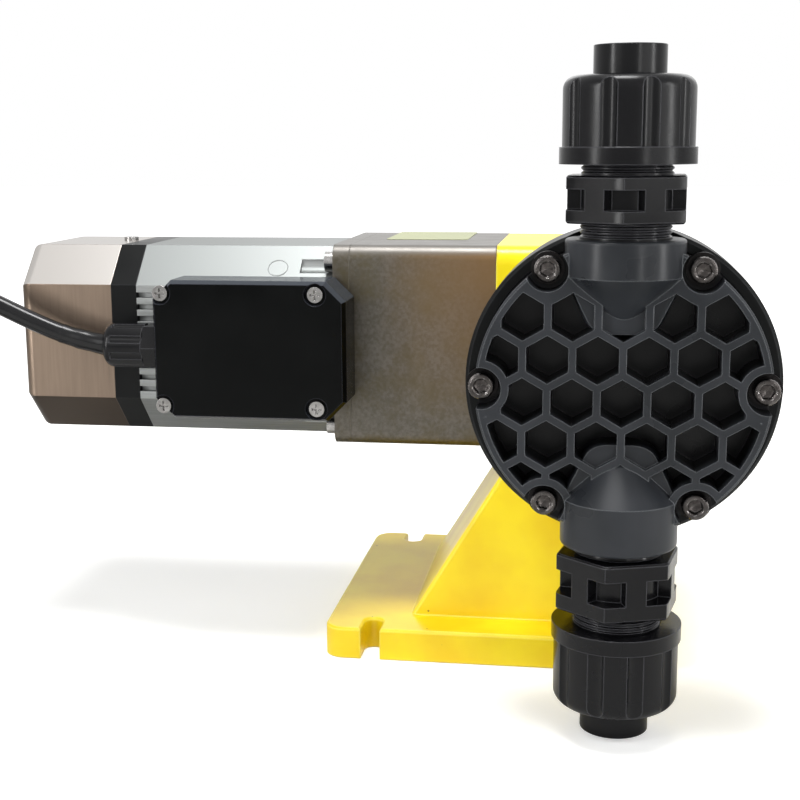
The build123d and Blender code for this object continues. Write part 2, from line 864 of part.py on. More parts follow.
def tail_place(distance):
    """A point on the line that leaves the coil's outer turn, at the middle height of the plug."""
    x, y = polar(coil_mean_r + cord_r, tail_angle)
    dx, dy = polar(distance, tail_angle + 90)
    return Pos(coil_centre[0] + x + dx, coil_centre[1] + y + dy, plug_height / 2) * Rot(0, 0, tail_angle + 90)


def along_tail(radius, start, end):
    return tail_place(start) * Rot(0, 90, 0) * Cylinder(radius, end - start, align=stand_up)


def power_cord_tail():
    return along_tail(cord_r, -cord_r / 2, tail_length)


def plug_body():
    middle = tail_length + plug_neck_length + plug_length / 2
    body = fillet(Box(plug_length, plug_width, plug_height).edges(), 4)
    return tail_place(middle) * body + along_tail(plug_neck_r, tail_length, tail_length + plug_neck_length + 2)


def plug_pins():
    pins = []
    face = tail_length + plug_neck_length + plug_length
    for dy, dz in ((-6.5, 3.5), (6.5, 3.5), (0, -5.0)):
        pin = Pos(pin_length / 2, dy, dz) * Box(pin_length, pin_thick, pin_width)
        pins.append(tail_place(face) * pin)
    return Compound(children=pins)


# ---- head adapter and push rod ----
def head_adapter():
    back = -frame_half
    adapter = cyl_y(adapter_flange_r, adapter_front, adapter_front + adapter_flange_thick)
    adapter += cyl_y(adapter_foot_r, back - adapter_foot_thick, back)
    waist = Plane(origin=(head_x, adapter_front + adapter_flange_thick, axis_height), z_dir=(0, 1, 0))
    length = back - adapter_foot_thick - adapter_front - adapter_flange_thick
    adapter += loft([waist * Circle(adapter_barrel_r), waist.offset(length) * Circle(adapter_waist_r)])
    adapter += cyl_y(adapter_bore_r - socket_fit, back, back + adapter_pilot)
    adapter -= cyl_y(adapter_bore_r - 3, adapter_front + adapter_end_wall, back + adapter_pilot)
    adapter -= cyl_y(bush_r, adapter_front, adapter_front + adapter_end_wall)
    for x, z in ring_places(adapter_screw_circle_r, 4, 45):
        adapter -= cyl_y(adapter_screw_r + 0.3, back - adapter_foot_thick, back, head_x + x, axis_height + z)
    drain_y = adapter_front + adapter_flange_thick + 14
    adapter -= cyl_z(4, axis_height - adapter_barrel_r, axis_height, head_x, drain_y)
    return adapter


def adapter_screws():
    screws = []
    seat = -frame_half - adapter_foot_thick
    for x, z in ring_places(adapter_screw_circle_r, 4, 45):
        screw = cyl_y(adapter_screw_r - 0.05, seat, -frame_half + housing_wall - 1, head_x + x, axis_height + z)
        screw += cyl_y(adapter_screw_head_r, seat - adapter_screw_head, seat, head_x + x, axis_height + z)
        screws.append(screw)
    return Compound(children=screws)


def rod_bush():
    bush = cyl_y(bush_r, adapter_front, adapter_front + adapter_end_wall)
    return bush - cyl_y(rod_r + run_clear, adapter_front, adapter_front + adapter_end_wall)


def push_rod():
    front_pad = -rod_sweep
    yoke_front = front_pad - yoke_wall
    back_pad = rod_sweep + stroke
    yoke_back = back_pad + yoke_wall
    half_height = follower_r + eccentric_offset + yoke_side_gap + yoke_wall
    yoke = block(head_x - yoke_width / 2, head_x + yoke_width / 2, yoke_front, yoke_back,
                 axis_height - half_height, axis_height + half_height)
    yoke = fillet(yoke.edges().filter_by(Axis.X), 6)
    window = block(head_x - yoke_width / 2, head_x + yoke_width / 2, front_pad, back_pad,
                   axis_height - half_height + yoke_wall, axis_height + half_height - yoke_wall)
    rod = cyl_y(rod_r, plate_front + insert_thick, yoke_front + 1)
    return (yoke - window) + rod


def return_spring():
    start = adapter_front + adapter_end_wall + spring_gap + spring_wire_r
    end = -rod_sweep - yoke_wall - spring_gap - spring_wire_r
    height = end - start
    turns = spring_turns
    path = Helix(pitch=height / turns, height=height, radius=spring_coil_r)
    section = Plane(origin=path @ 0, z_dir=path % 0) * Circle(spring_wire_r)
    coil = sweep(section, path=path)
    return Pos(head_x, start, axis_height) * Rot(-90, 0, 0) * coil


# ---- pump head ----
def bolt_places():
    return [polar(bolt_circle_r, angle) for angle in bolt_angles]


def boss_cut(radius):
    upper = cyl_z(radius, axis_height + cone_start - 14, axis_height + plate_r + 5, head_x, valve_y)
    lower = cyl_z(radius, axis_height - plate_r - 5, axis_height - cone_start + 14, head_x, valve_y)
    return upper + lower


def backing_plate():
    plate = cyl_y(plate_r, plate_front, adapter_front)
    lip = cyl_y(plate_r, lip_front, plate_front) - cyl_y(head_r + head_fit, lip_front, plate_front)
    lip = chamfer(lip.edges().group_by(Axis.Y)[0].sort_by(SortBy.RADIUS)[-1], 1.2)
    lip -= boss_cut(boss_r + boss_clear)
    plate += lip
    plate -= cyl_y(bush_r + 1, plate_front, adapter_front)
    for x, z in bolt_places():
        plate -= cyl_y(bolt_hole_r, lip_front, adapter_front, head_x + x, axis_height + z)
    return plate


def cell_sketch():
    allowed = Circle(head_r - rim_wall)
    for x, z in bolt_places():
        allowed -= Pos(x, z) * Circle(counterbore_r + rim_wall)
    corner_r = (cell_pitch - cell_wall) / math.sqrt(3)
    row_step = cell_pitch * math.sqrt(3) / 2
    cells = Sketch()
    for row in range(-cell_rows, cell_rows + 1):
        shift = cell_pitch / 2 if row % 2 else 0.0
        for column in range(-cell_columns, cell_columns + 1):
            x = column * cell_pitch + shift
            z = row * row_step - cell_drop
            if math.hypot(x, z) < head_r + 4:
                cells += Pos(x, z) * Rot(0, 0, 30) * RegularPolygon(corner_r, 6)
    return cells & allowed


def valve_channel(side, boss_height):
    """One valve's boss, side +1 up and -1 down, with its 45 degree nose and the core behind the cells."""
    straight = cyl_z(boss_r, 0, boss_height - cone_start)
    straight = fillet(straight.edges().sort_by(Axis.Z)[-1], boss_edge)
    nose_length = boss_r - nose_end_r
    nose = Pos(0, 0, -nose_length) * Cone(nose_end_r, boss_r, nose_length, align=stand_up)
    core = Pos(0, 0, -core_length) * Cone(core_end_r, boss_r, core_length, align=stand_up)
    core = fillet(core.edges().sort_by(Axis.Z)[0], core_round)
    turn = 180 if side < 0 else 0
    place = Pos(head_x, valve_y, axis_height) * Rot(turn, 0, 0) * Pos(0, 0, cone_start)
    low, high = axis_height - head_r, axis_height + head_r
    behind = block(head_x - boss_r, head_x + boss_r, head_front + core_inset, head_back, low, high)
    return place * (straight + nose) + (place * core & behind)


def valve_port(side, boss_height):
    top = boss_height
    bore = cyl_z(thread_r, top - socket_depth, top) + cyl_z(port_r, link_height - port_r, top)
    if side < 0:
        bore = Rot(180, 0, 0) * bore
    link = cyl_y(port_r * 0.8, valve_y, head_back, head_x, axis_height + side * link_height)
    return Pos(head_x, valve_y, axis_height) * bore + link


def pump_head():
    head = cyl_y(head_r, head_front, head_back)
    head = chamfer(head.edges().sort_by(Axis.Y)[0], 0.8)
    cells = cell_sketch()
    head -= along_y(cells, head_front, pocket_depth)
    head += valve_channel(1, discharge_boss)
    head += valve_channel(-1, suction_boss)
    for x, z in bolt_places():
        head -= cyl_y(counterbore_r, valve_y - boss_r, head_front + counterbore_depth, head_x + x, axis_height + z)
        head -= cyl_y(bolt_hole_r, head_front, head_back, head_x + x, axis_height + z)
    chamber_floor = head_back - diaphragm_thick - diaphragm_fit
    head -= cyl_y(diaphragm_r + diaphragm_fit, chamber_floor, head_back)
    head -= cyl_y(chamber_r, chamber_floor - chamber_depth, chamber_floor)
    head -= valve_port(1, discharge_boss)
    head -= valve_port(-1, suction_boss)
    return head


def diaphragm():
    front = head_back - diaphragm_thick
    disc = cyl_y(diaphragm_r, front, head_back)
    groove_r = chamber_r - 2
    groove = cyl_y(groove_r, head_back - 1.2, head_back) - cyl_y(groove_r - 12, head_back - 1.2, head_back)
    disc -= groove
    disc -= cyl_y(insert_r, head_back - 2.0, head_back)
    return disc


def diaphragm_insert():
    stud = cyl_y(insert_r - 0.1, head_back - 2.0, head_back + insert_thick)
    return stud


def head_bolts():
    bolts = []
    floor = head_front + counterbore_depth
    seat = floor - washer_thick
    for x, z in bolt_places():
        bolt = cyl_y(bolt_head_r, seat - bolt_head_height, seat, head_x + x, axis_height + z)
        bolt += cyl_y(bolt_r, seat, adapter_front + nut_thick + 2, head_x + x, axis_height + z)
        socket = Pos(head_x + x, seat - bolt_head_height, axis_height + z) * Rot(-90, 0, 0) * extrude(
            RegularPolygon(bolt_socket_flats / math.sqrt(3), 6), bolt_socket_depth)
        bolts.append(bolt - socket)
    return Compound(children=bolts)


def head_washers():
    floor = head_front + counterbore_depth
    washers = []
    for x, z in bolt_places():
        washer = cyl_y(washer_r, floor - washer_thick, floor, head_x + x, axis_height + z)
        washer -= cyl_y(bolt_hole_r, floor - washer_thick, floor, head_x + x, axis_height + z)
        washers.append(washer)
    return Compound(children=washers)


def head_nuts():
    nuts = []
    for x, z in bolt_places():
        nut = Pos(head_x + x, adapter_front, axis_height + z) * Rot(-90, 0, 0) * extrude(
            RegularPolygon(nut_flats / math.sqrt(3), 6), nut_thick)
        nut -= cyl_y(bolt_r + run_clear, adapter_front, adapter_front + nut_thick, head_x + x, axis_height + z)
        nuts.append(nut)
    return Compound(children=nuts)


# ---- valves: screwed parts are drawn outwards from the boss face, ball parts upwards from their seat ----
def place_valve(shape, side, boss_height):
    if side < 0:
        shape = Rot(180, 0, 0) * shape
    return Pos(head_x, valve_y, axis_height + side * boss_height) * shape


def seat_top(side, boss_height, levels):
    """Height of the seat ring's top over the head axis; both balls drop onto a seat below them."""
    if side > 0:
        return boss_height - socket_depth + socket_end_gap + seat_thick
    return seat_thick - boss_height - seal_face(levels[3])


def place_upright(shape, height):
    return Pos(head_x, valve_y, axis_height + height) * shape


def valve_levels(neck_gap, hex_height, collar_gap, union_height):
    hex_low = neck_gap
    hex_high = hex_low + hex_height
    nut_low = hex_high + collar_gap
    nut_high = nut_low + union_height
    return hex_low, hex_high, nut_low, nut_high


def seal_face(nut_high):
    return nut_high - union_wall_top - spigot_flange_thick - spigot_fit


def valve_body(levels):
    hex_low, hex_high, nut_low, nut_high = levels
    body = cyl_z(thread_r - socket_fit, -socket_depth + socket_end_gap, seal_face(nut_high))
    body += Pos(0, 0, hex_low) * extrude(RegularPolygon(hex_corner_r, 6), hex_high - hex_low)
    band = (hex_low + hex_high) / 2
    flat = hex_corner_r * math.cos(math.radians(30))
    pocket_height = hex_high - hex_low - 2 * hex_band
    pocket = Pos(flat, 0, band) * Box(2 * hex_pocket_depth, hex_pocket_width, pocket_height)
    for i in range(6):
        body -= Rot(0, 0, 30 + i * 60) * pocket
    return body - cyl_z(through_r, -socket_depth, seal_face(nut_high))


def union_nut(levels):
    low, high = levels[2], levels[3]
    nut = cyl_z(union_r - union_collar_step, low, high)
    nut = fillet(nut.edges().sort_by(Axis.Z)[-1], union_round)
    for i in range(union_flutes):
        x, y = polar(union_r - union_collar_step + union_flute_r - union_flute_depth, i * 360 / union_flutes)
        nut -= cyl_z(union_flute_r, low + union_collar, high, x, y)
    nut += cyl_z(union_r, low, low + union_collar)
    nut -= cyl_z(thread_r - socket_fit + union_thread_fit, low, seal_face(high))
    nut -= cyl_z(union_bore_r, seal_face(high), high - union_wall_top)
    nut -= cyl_z(spigot_r + spigot_fit, low, high)
    return nut


def spigot(levels, rise):
    high = levels[3]
    face = seal_face(high)
    tail = cyl_z(spigot_flange_r, face, face + spigot_flange_thick)
    tail += cyl_z(spigot_r, face, high + rise)
    tail -= cyl_z(spigot_bore_r, high + rise - spigot_socket, high + rise)
    tail -= cyl_z(through_r, face, high + rise)
    return tail


def ball_rest():
    return math.sqrt(ball_r ** 2 - seat_bore_r ** 2) + seat_touch


def ball_cavity():
    stop = math.sqrt(ball_r ** 2 - through_r ** 2)
    return cyl_z(seat_ring_r, -seat_thick, 0) + cyl_z(ball_r + ball_clear, 0, ball_rest() + ball_lift + stop + stop_gap)


def ball_seat():
    return cyl_z(seat_ring_r - socket_fit, -seat_thick, 0) - cyl_z(seat_bore_r, -seat_thick, 0)


def ball():
    return Pos(0, 0, ball_rest()) * Sphere(ball_r)


# ---- stroke adjuster ----
def adjuster_bush():
    bush = cyl_y(bush_flange_r, frame_half, frame_half + bush_flange_thick)
    bush = chamfer(bush.edges().sort_by(Axis.Y)[-1], 1)
    bush += cyl_y(adjuster_pilot_r - socket_fit, frame_half - housing_wall, frame_half)
    bush += cyl_y(bush_sleeve_r, frame_half, frame_half + bush_flange_thick + bush_sleeve_length)
    bush -= cyl_y(spindle_r + run_clear, frame_half - housing_wall,
                  frame_half + bush_flange_thick + bush_sleeve_length)
    return bush


def spindle_front():
    return rod_sweep + stroke + yoke_wall + spindle_gap


def adjuster_spindle():
    sleeve_end = frame_half + bush_flange_thick + bush_sleeve_length
    spindle = cyl_y(spindle_r, spindle_front(), sleeve_end)
    spindle = chamfer(spindle.edges().sort_by(Axis.Y)[0], 1)
    drive = block(head_x - drive_flat, head_x + drive_flat, sleeve_end, sleeve_end + 12,
                  axis_height - drive_flat, axis_height + drive_flat)
    return spindle + (drive & cyl_y(spindle_r, sleeve_end, sleeve_end + 12))


def adjuster_knob():
    start = frame_half + bush_flange_thick + knob_skirt_gap
    end = frame_half + bush_flange_thick + bush_sleeve_length + 14 + knob_cap
    knob = cyl_y(knob_skirt_r, start, start + 10)
    knob += cyl_y(knob_r, start + 10, end)
    knob = fillet(knob.edges().sort_by(Axis.Y)[-1], 2.5)
    for i in range(knob_flutes):
        x, z = polar(knob_r + 0.4, i * 360 / knob_flutes)
        knob -= cyl_y(knob_flute_r, start + 12, end, head_x + x, axis_height + z)
    sleeve_end = frame_half + bush_flange_thick + bush_sleeve_length
    knob -= cyl_y(bush_sleeve_r + run_clear, start, sleeve_end + 0.3)
    knob -= cyl_y(spindle_r + run_clear, sleeve_end, end - knob_cap)
    return knob


def build():
    os.makedirs("parts", exist_ok=True)
    write("base_stand", base_stand())
    write("drive_housing", drive_housing())
    write("side_cover", side_cover())
    write("side_cover_screws", side_cover_screws())
    write("gearbox_case", gearbox_case())
    write("gearbox_screws", gearbox_screws())
    write("motor_flange", motor_flange())
    write("output_bearings", output_bearings())
    write("motor_bearings", motor_bearings())
    write("rotor_shaft", rotor_shaft())
    write("rotor_core", rotor_core())
    write("idler_shaft", idler_shaft())
    write("idler_gear", idler_gear())
    write("output_gear", output_gear())
    write("output_shaft", output_shaft())
    write("eccentric", eccentric())
    write("eccentric_bearing", eccentric_bearing())
    write("motor_body", motor_body())
    write("rear_bell", rear_bell())
    write("fan_cover", fan_cover())
    write("fan_cover_screws", fan_cover_screws())
    write("cooling_fan", cooling_fan())
    write("stator_core", stator_core())
    write("stator_windings", stator_windings())
    write("terminal_box", terminal_box())
    write("terminal_lid", terminal_lid())
    write("terminal_lid_screws", terminal_lid_screws())
    write("terminal_block", terminal_block())
    write("gland_body", gland_body())
    write("gland_nut", gland_nut())
    write("power_cord", power_cord())
    write("power_cord_coil", power_cord_coil())
    write("power_cord_tail", power_cord_tail())
    write("plug_body", plug_body())
    write("plug_pins", plug_pins())
    write("head_adapter", head_adapter())
    write("adapter_screws", adapter_screws())
    write("rod_bush", rod_bush())
    write("push_rod", push_rod())
    write("return_spring", return_spring())
    write("backing_plate", backing_plate())
    write("pump_head", pump_head())
    write("diaphragm", diaphragm())
    write("diaphragm_insert", diaphragm_insert())
    write("head_bolts", head_bolts())
    write("head_washers", head_washers())
    write("head_nuts", head_nuts())
    valves = (
        ("discharge", 1, discharge_boss, spigot_rise_discharge,
         valve_levels(neck_gap_discharge, hex_discharge, collar_gap_discharge, union_discharge)),
        ("suction", -1, suction_boss, spigot_rise_suction,
         valve_levels(neck_gap_suction, hex_suction, collar_gap_suction, union_suction)),
    )
    for name, side, boss, rise, levels in valves:
        seat = seat_top(side, boss, levels)
        body = place_valve(valve_body(levels), side, boss) - place_upright(ball_cavity(), seat)
        write(f"{name}_valve_body", body)
        write(f"{name}_union_nut", place_valve(union_nut(levels), side, boss))
        write(f"{name}_spigot", place_valve(spigot(levels, rise), side, boss))
        write(f"{name}_seat", place_upright(ball_seat(), seat))
        write(f"{name}_ball", place_upright(ball(), seat))
    write("adjuster_bush", adjuster_bush())
    write("adjuster_spindle", adjuster_spindle())
    write("adjuster_knob", adjuster_knob())


if __name__ == "__main__":
    build()
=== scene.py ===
import math
import bmesh
import bpy
from mathutils import Matrix, Vector


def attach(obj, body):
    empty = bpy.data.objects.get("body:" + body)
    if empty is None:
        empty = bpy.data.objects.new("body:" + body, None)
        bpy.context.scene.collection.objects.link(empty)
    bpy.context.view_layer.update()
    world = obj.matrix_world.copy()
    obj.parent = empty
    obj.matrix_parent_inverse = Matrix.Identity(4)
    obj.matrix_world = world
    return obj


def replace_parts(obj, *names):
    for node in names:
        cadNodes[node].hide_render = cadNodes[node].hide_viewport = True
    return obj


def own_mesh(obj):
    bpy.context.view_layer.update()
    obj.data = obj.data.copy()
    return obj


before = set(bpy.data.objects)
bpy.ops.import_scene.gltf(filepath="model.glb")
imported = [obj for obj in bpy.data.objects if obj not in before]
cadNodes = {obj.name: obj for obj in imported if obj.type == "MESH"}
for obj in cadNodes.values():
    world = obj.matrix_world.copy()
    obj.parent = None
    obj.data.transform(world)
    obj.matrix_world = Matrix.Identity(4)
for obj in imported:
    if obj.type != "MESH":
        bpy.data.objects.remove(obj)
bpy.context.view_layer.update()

mm = 0.001
print("frame loaded:", len(cadNodes), "nodes")


def toLinear(hexColour):
    channels = [int(hexColour[i:i + 2], 16) / 255 for i in (1, 3, 5)]
    linear = [c / 12.92 if c <= 0.04045 else ((c + 0.055) / 1.055) ** 2.4 for c in channels]
    return (*linear, 1.0)


def addNode(tree, kind, inputs=None, **settings):
    node = tree.nodes.new(kind)
    for name, value in settings.items():
        setattr(node, name, value)
    for name, value in (inputs or {}).items():
        if isinstance(value, bpy.types.NodeSocket):
            tree.links.new(value, node.inputs[name])
        else:
            node.inputs[name].default_value = value
    return node


def startMaterial(name):
    material = bpy.data.materials.new(name)
    material.use_nodes = True
    tree = material.node_tree
    tree.nodes.clear()
    shader = addNode(tree, "ShaderNodeBsdfPrincipled")
    addNode(tree, "ShaderNodeOutputMaterial", {"Surface": shader.outputs["BSDF"]})
    place = addNode(tree, "ShaderNodeTexCoord").outputs["Object"]
    return material, tree, shader, place


def setInputs(shader, **values):
    for name, value in values.items():
        shader.inputs[name.replace("_", " ")].default_value = value


# camera: lens and place were worked out from the square gearbox and the head circle
cameraSettings = {
    "lens": 61.19,
    "place": (44.55, -635.97, 225.26),
    "yaw": -8.57,
    "pitch": 10.81,
    "roll": -0.29,
}


def makeCamera(settings):
    yaw, pitch, roll = (math.radians(settings[k]) for k in ("yaw", "pitch", "roll"))
    forward = Vector((math.sin(yaw) * math.cos(pitch), math.cos(yaw) * math.cos(pitch), -math.sin(pitch)))
    level = Vector((math.cos(yaw), -math.sin(yaw), 0))
    upright = level.cross(forward)
    right = math.cos(roll) * level + math.sin(roll) * upright
    up = -math.sin(roll) * level + math.cos(roll) * upright
    data = bpy.data.cameras.new("camera")
    data.lens = settings["lens"]
    data.sensor_fit = "HORIZONTAL"
    data.sensor_width = 36
    data.clip_start = 0.01
    camera = bpy.data.objects.new("camera", data)
    turn = Matrix((right, up, -forward)).transposed().to_4x4()
    camera.matrix_world = Matrix.Translation(Vector(settings["place"]) * mm) @ turn
    bpy.context.collection.objects.link(camera)
    bpy.context.scene.camera = camera


makeCamera(cameraSettings)
bpy.context.scene.view_settings.view_transform = "Standard"
print("camera placed")


def linkObject(name, data):
    obj = bpy.data.objects.new(name, data)
    bpy.context.collection.objects.link(obj)
    return obj


cordSettings = {
    "diameter": 8.4,
    "exit": (-176.2, -55.0, 135.5),
    "route": (
        (-190.0, -55.5, 137.6), (-210.0, -57.0, 145.5), (-236.0, -59.0, 158.5), (-270.0, -56.0, 167.0),
        (-304.0, -48.0, 160.0), (-331.0, -36.0, 137.0), (-347.0, -11.6, 107.9), (-353.5, -4.0, 82.6),
        (-355.0, -6.5, 53.3), (-355.2, -21.4, 27.9), (-355.2, -48.3, 9.7), (-355.2, -72.0, 4.3),
    ),
    "coilCentre": (-303.0, -78.0),
    "coilRadius": 48.0,
    "coilSlack": 1.012,
    "turns": 3.625,
    "pointsPerTurn": 14,
    "stepIn": (0.85, 1.15),
    "stepUp": (1.85, 2.15),
    "stepOut": (2.85, 3.15),
    "leaveAngle": 45,
    "tail": 36.0,
    "tailShares": (0.35, 0.7, 1.0),
    "plugHeight": 22.0,
}


def easeBetween(value, low, high):
    t = min(max((value - low) / (high - low), 0.0), 1.0)
    return t * t * (3 - 2 * t)


def coilPoints(settings):
    half = settings["diameter"] / 2
    cx, cy = settings["coilCentre"]
    count = round(settings["turns"] * settings["pointsPerTurn"])
    points = []
    for i in range(1, count + 1):
        turn = settings["turns"] * i / count
        # outer turn, inner turn, then back out on top of them
        inward = easeBetween(turn, *settings["stepIn"]) - easeBetween(turn, *settings["stepOut"])
        lift = easeBetween(turn, *settings["stepUp"])
        radius = (settings["coilRadius"] + half - 2 * half * inward) * settings["coilSlack"]
        angle = math.pi + 2 * math.pi * turn
        points.append((cx + radius * math.cos(angle), cy + radius * math.sin(angle), half + 2 * half * lift))
    return points


def makeCord(settings):
    half = settings["diameter"] / 2
    cx, cy = settings["coilCentre"]
    coil = coilPoints(settings)
    leave = math.radians(settings["leaveAngle"])
    reach = settings["coilRadius"] + half
    tail = []
    for share in settings["tailShares"]:
        along = settings["tail"] * share
        tail.append((
            cx + reach * math.cos(leave) - along * math.sin(leave),
            cy + reach * math.sin(leave) + along * math.cos(leave),
            settings["plugHeight"] / 2,
        ))
    points = [settings["exit"], *settings["route"], *coil, *tail]
    data = bpy.data.curves.new("powerCord", "CURVE")
    data.dimensions = "3D"
    spline = data.splines.new("NURBS")
    spline.points.add(len(points) - 1)
    for point, place in zip(spline.points, points):
        point.co = (*(c * mm for c in place), 1)
        point.radius = half * mm
    spline.order_u = 3
    spline.use_endpoint_u = True
    spline.resolution_u = 8
    # each point's radius is the cord's own, so that its box fits the cord
    data.bevel_depth = 1.0
    data.bevel_resolution = 6
    data.use_fill_caps = True
    return linkObject("powerCord", data)


cord = makeCord(cordSettings)
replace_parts(cord, "power_cord", "power_cord_coil", "power_cord_tail")
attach(cord, "frame")


def cordLine(cord):
    # the middle line of the cord, as points in order
    bare = cord.data.copy()
    bare.bevel_depth = 0
    probe = linkObject("probe", bare)
    bpy.context.view_layer.update()
    line = bpy.data.meshes.new_from_object(probe.evaluated_get(bpy.context.evaluated_depsgraph_get()))
    points = [vertex.co.copy() for vertex in line.vertices]
    bpy.data.objects.remove(probe)
    bpy.data.curves.remove(bare)
    bpy.data.meshes.remove(line)
    return points


cordPoints = cordLine(cord)


def roundedEdges(tree, radius):
    # every arris on a real casting or moulding is broken: the softened normal, and a mask that is 1 on the arris
    soft = addNode(tree, "ShaderNodeBevel", {"Radius": radius * mm}, samples=4)
    flat = addNode(tree, "ShaderNodeNewGeometry")
    match = addNode(tree, "ShaderNodeVectorMath", {0: soft.outputs[0], 1: flat.outputs["Normal"]},
                    operation="DOT_PRODUCT")
    mask = addNode(tree, "ShaderNodeMapRange", {"Value": match.outputs["Value"], "From Min": 0.995,
                                                "From Max": 0.90})
    return soft.outputs[0], mask.outputs[0]


def mixColours(tree, share, first, second):
    mix = addNode(tree, "ShaderNodeMix", {"Factor": share}, data_type="RGBA")
    for place, colour in ((6, first), (7, second)):
        if isinstance(colour, str):
            mix.inputs[place].default_value = toLinear(colour)
        else:
            tree.links.new(colour, mix.inputs[place])
    return mix.outputs[2]


def blendOver(tree, pattern, low, high, first, second):
    # the first colour below the low level of a pattern, the second above the high one
    share = addNode(tree, "ShaderNodeMapRange", {"Value": pattern, "From Min": low, "From Max": high})
    return mixColours(tree, share.outputs[0], first, second)


def paintedLightByTilt(tree, shade, paintedLightOnTop=None, paintedShadeBelow=None):
    # painted light by a face's tilt: a painted colour for the light on faces that look up, painted shade on faces
    # that look down
    if paintedLightOnTop or paintedShadeBelow:
        tilt = addNode(tree, "ShaderNodeSeparateXYZ", {0: addNode(tree, "ShaderNodeNewGeometry").outputs["Normal"]})
        tilt = tilt.outputs["Z"]
    if paintedLightOnTop:
        shade = blendOver(tree, tilt, 0.25, 0.6, shade, paintedLightOnTop)
    if paintedShadeBelow:
        down = addNode(tree, "ShaderNodeMath", {0: tilt, 1: -1.0}, operation="MULTIPLY")
        shade = blendOver(tree, down.outputs[0], 0.15, 0.55, shade, paintedShadeBelow)
    return shade


def enamelSprayed(name, colour, depth, arrisHighlight):
    # cast iron under two coats of gloss enamel: even colour, faint orange peel, a painted highlight on the arrises
    material, tree, shader, place = startMaterial(name)
    softNormal, onEdge = roundedEdges(tree, 1.2)
    cloud = addNode(tree, "ShaderNodeTexNoise", {"Vector": place, "Scale": 28.0, "Detail": 3.0})
    shade = blendOver(tree, cloud.outputs["Fac"], 0.34, 0.62, depth, colour)
    # dust nibs in the paint, about one each square centimetre
    nibs = addNode(tree, "ShaderNodeTexVoronoi", {"Vector": place, "Scale": 95.0})
    isNib = addNode(tree, "ShaderNodeMath", {0: nibs.outputs["Distance"], 1: 0.045}, operation="LESS_THAN")
    specked = mixColours(tree, isNib.outputs[0], shade, "#8a7316")
    # painted highlight: the arrises are painted in a paler yellow
    arrisHighlightShare = addNode(tree, "ShaderNodeMath", {0: onEdge, 1: 0.7}, operation="MULTIPLY")
    tree.links.new(mixColours(tree, arrisHighlightShare.outputs[0], specked, arrisHighlight), shader.inputs["Base Color"])
    # orange peel is about 1.5 mm across
    peel = addNode(tree, "ShaderNodeTexNoise", {"Vector": place, "Scale": 650.0, "Detail": 1.0})
    bump = addNode(tree, "ShaderNodeBump", {"Height": peel.outputs["Fac"], "Strength": 0.10, "Distance": 0.0002,
                                            "Normal": softNormal})
    tree.links.new(bump.outputs["Normal"], shader.inputs["Normal"])
    setInputs(shader, Roughness=0.36, IOR=1.45, Specular_IOR_Level=0.35, Coat_Weight=0.2, Coat_Roughness=0.1)
    return material


def metalBrushed(name, colour, dark, roughness, streak, grain=1.0, edge=0.5, arrisWearAndHighlight=None, paintedLightOnTop=None, paintedShadeBelow=None):
    # fine parallel scratches from an abrasive belt: soft streaks across the sheen, bright burnished arrises; where
    # colours are given, a painted highlight on the arrises and painted light on upper and lower faces
    material, tree, shader, place = startMaterial(name)
    softNormal, onEdge = roundedEdges(tree, edge)
    stretch = addNode(tree, "ShaderNodeMapping", {"Vector": place, "Scale": streak})
    lines = addNode(tree, "ShaderNodeTexNoise", {"Vector": stretch.outputs[0], "Scale": 1.0, "Detail": 4.0})
    broad = addNode(tree, "ShaderNodeTexNoise", {"Vector": place, "Scale": 22.0, "Detail": 2.0})
    blend = addNode(tree, "ShaderNodeMath", {0: lines.outputs["Fac"], 1: broad.outputs["Fac"]}, operation="ADD")
    shade = blendOver(tree, blend.outputs[0], 0.72, 1.28, dark, colour)
    shade = paintedLightByTilt(tree, shade, paintedLightOnTop, paintedShadeBelow)
    # the arris colour is worn metal for some finishes and a painted highlight for others
    tree.links.new(mixColours(tree, onEdge, shade, arrisWearAndHighlight or colour), shader.inputs["Base Color"])
    bump = addNode(tree, "ShaderNodeBump", {"Height": lines.outputs["Fac"], "Strength": 0.12 * grain,
                                            "Distance": 0.0001, "Normal": softNormal})
    tree.links.new(bump.outputs["Normal"], shader.inputs["Normal"])
    setInputs(shader, Metallic=1.0, Roughness=roughness)
    return material


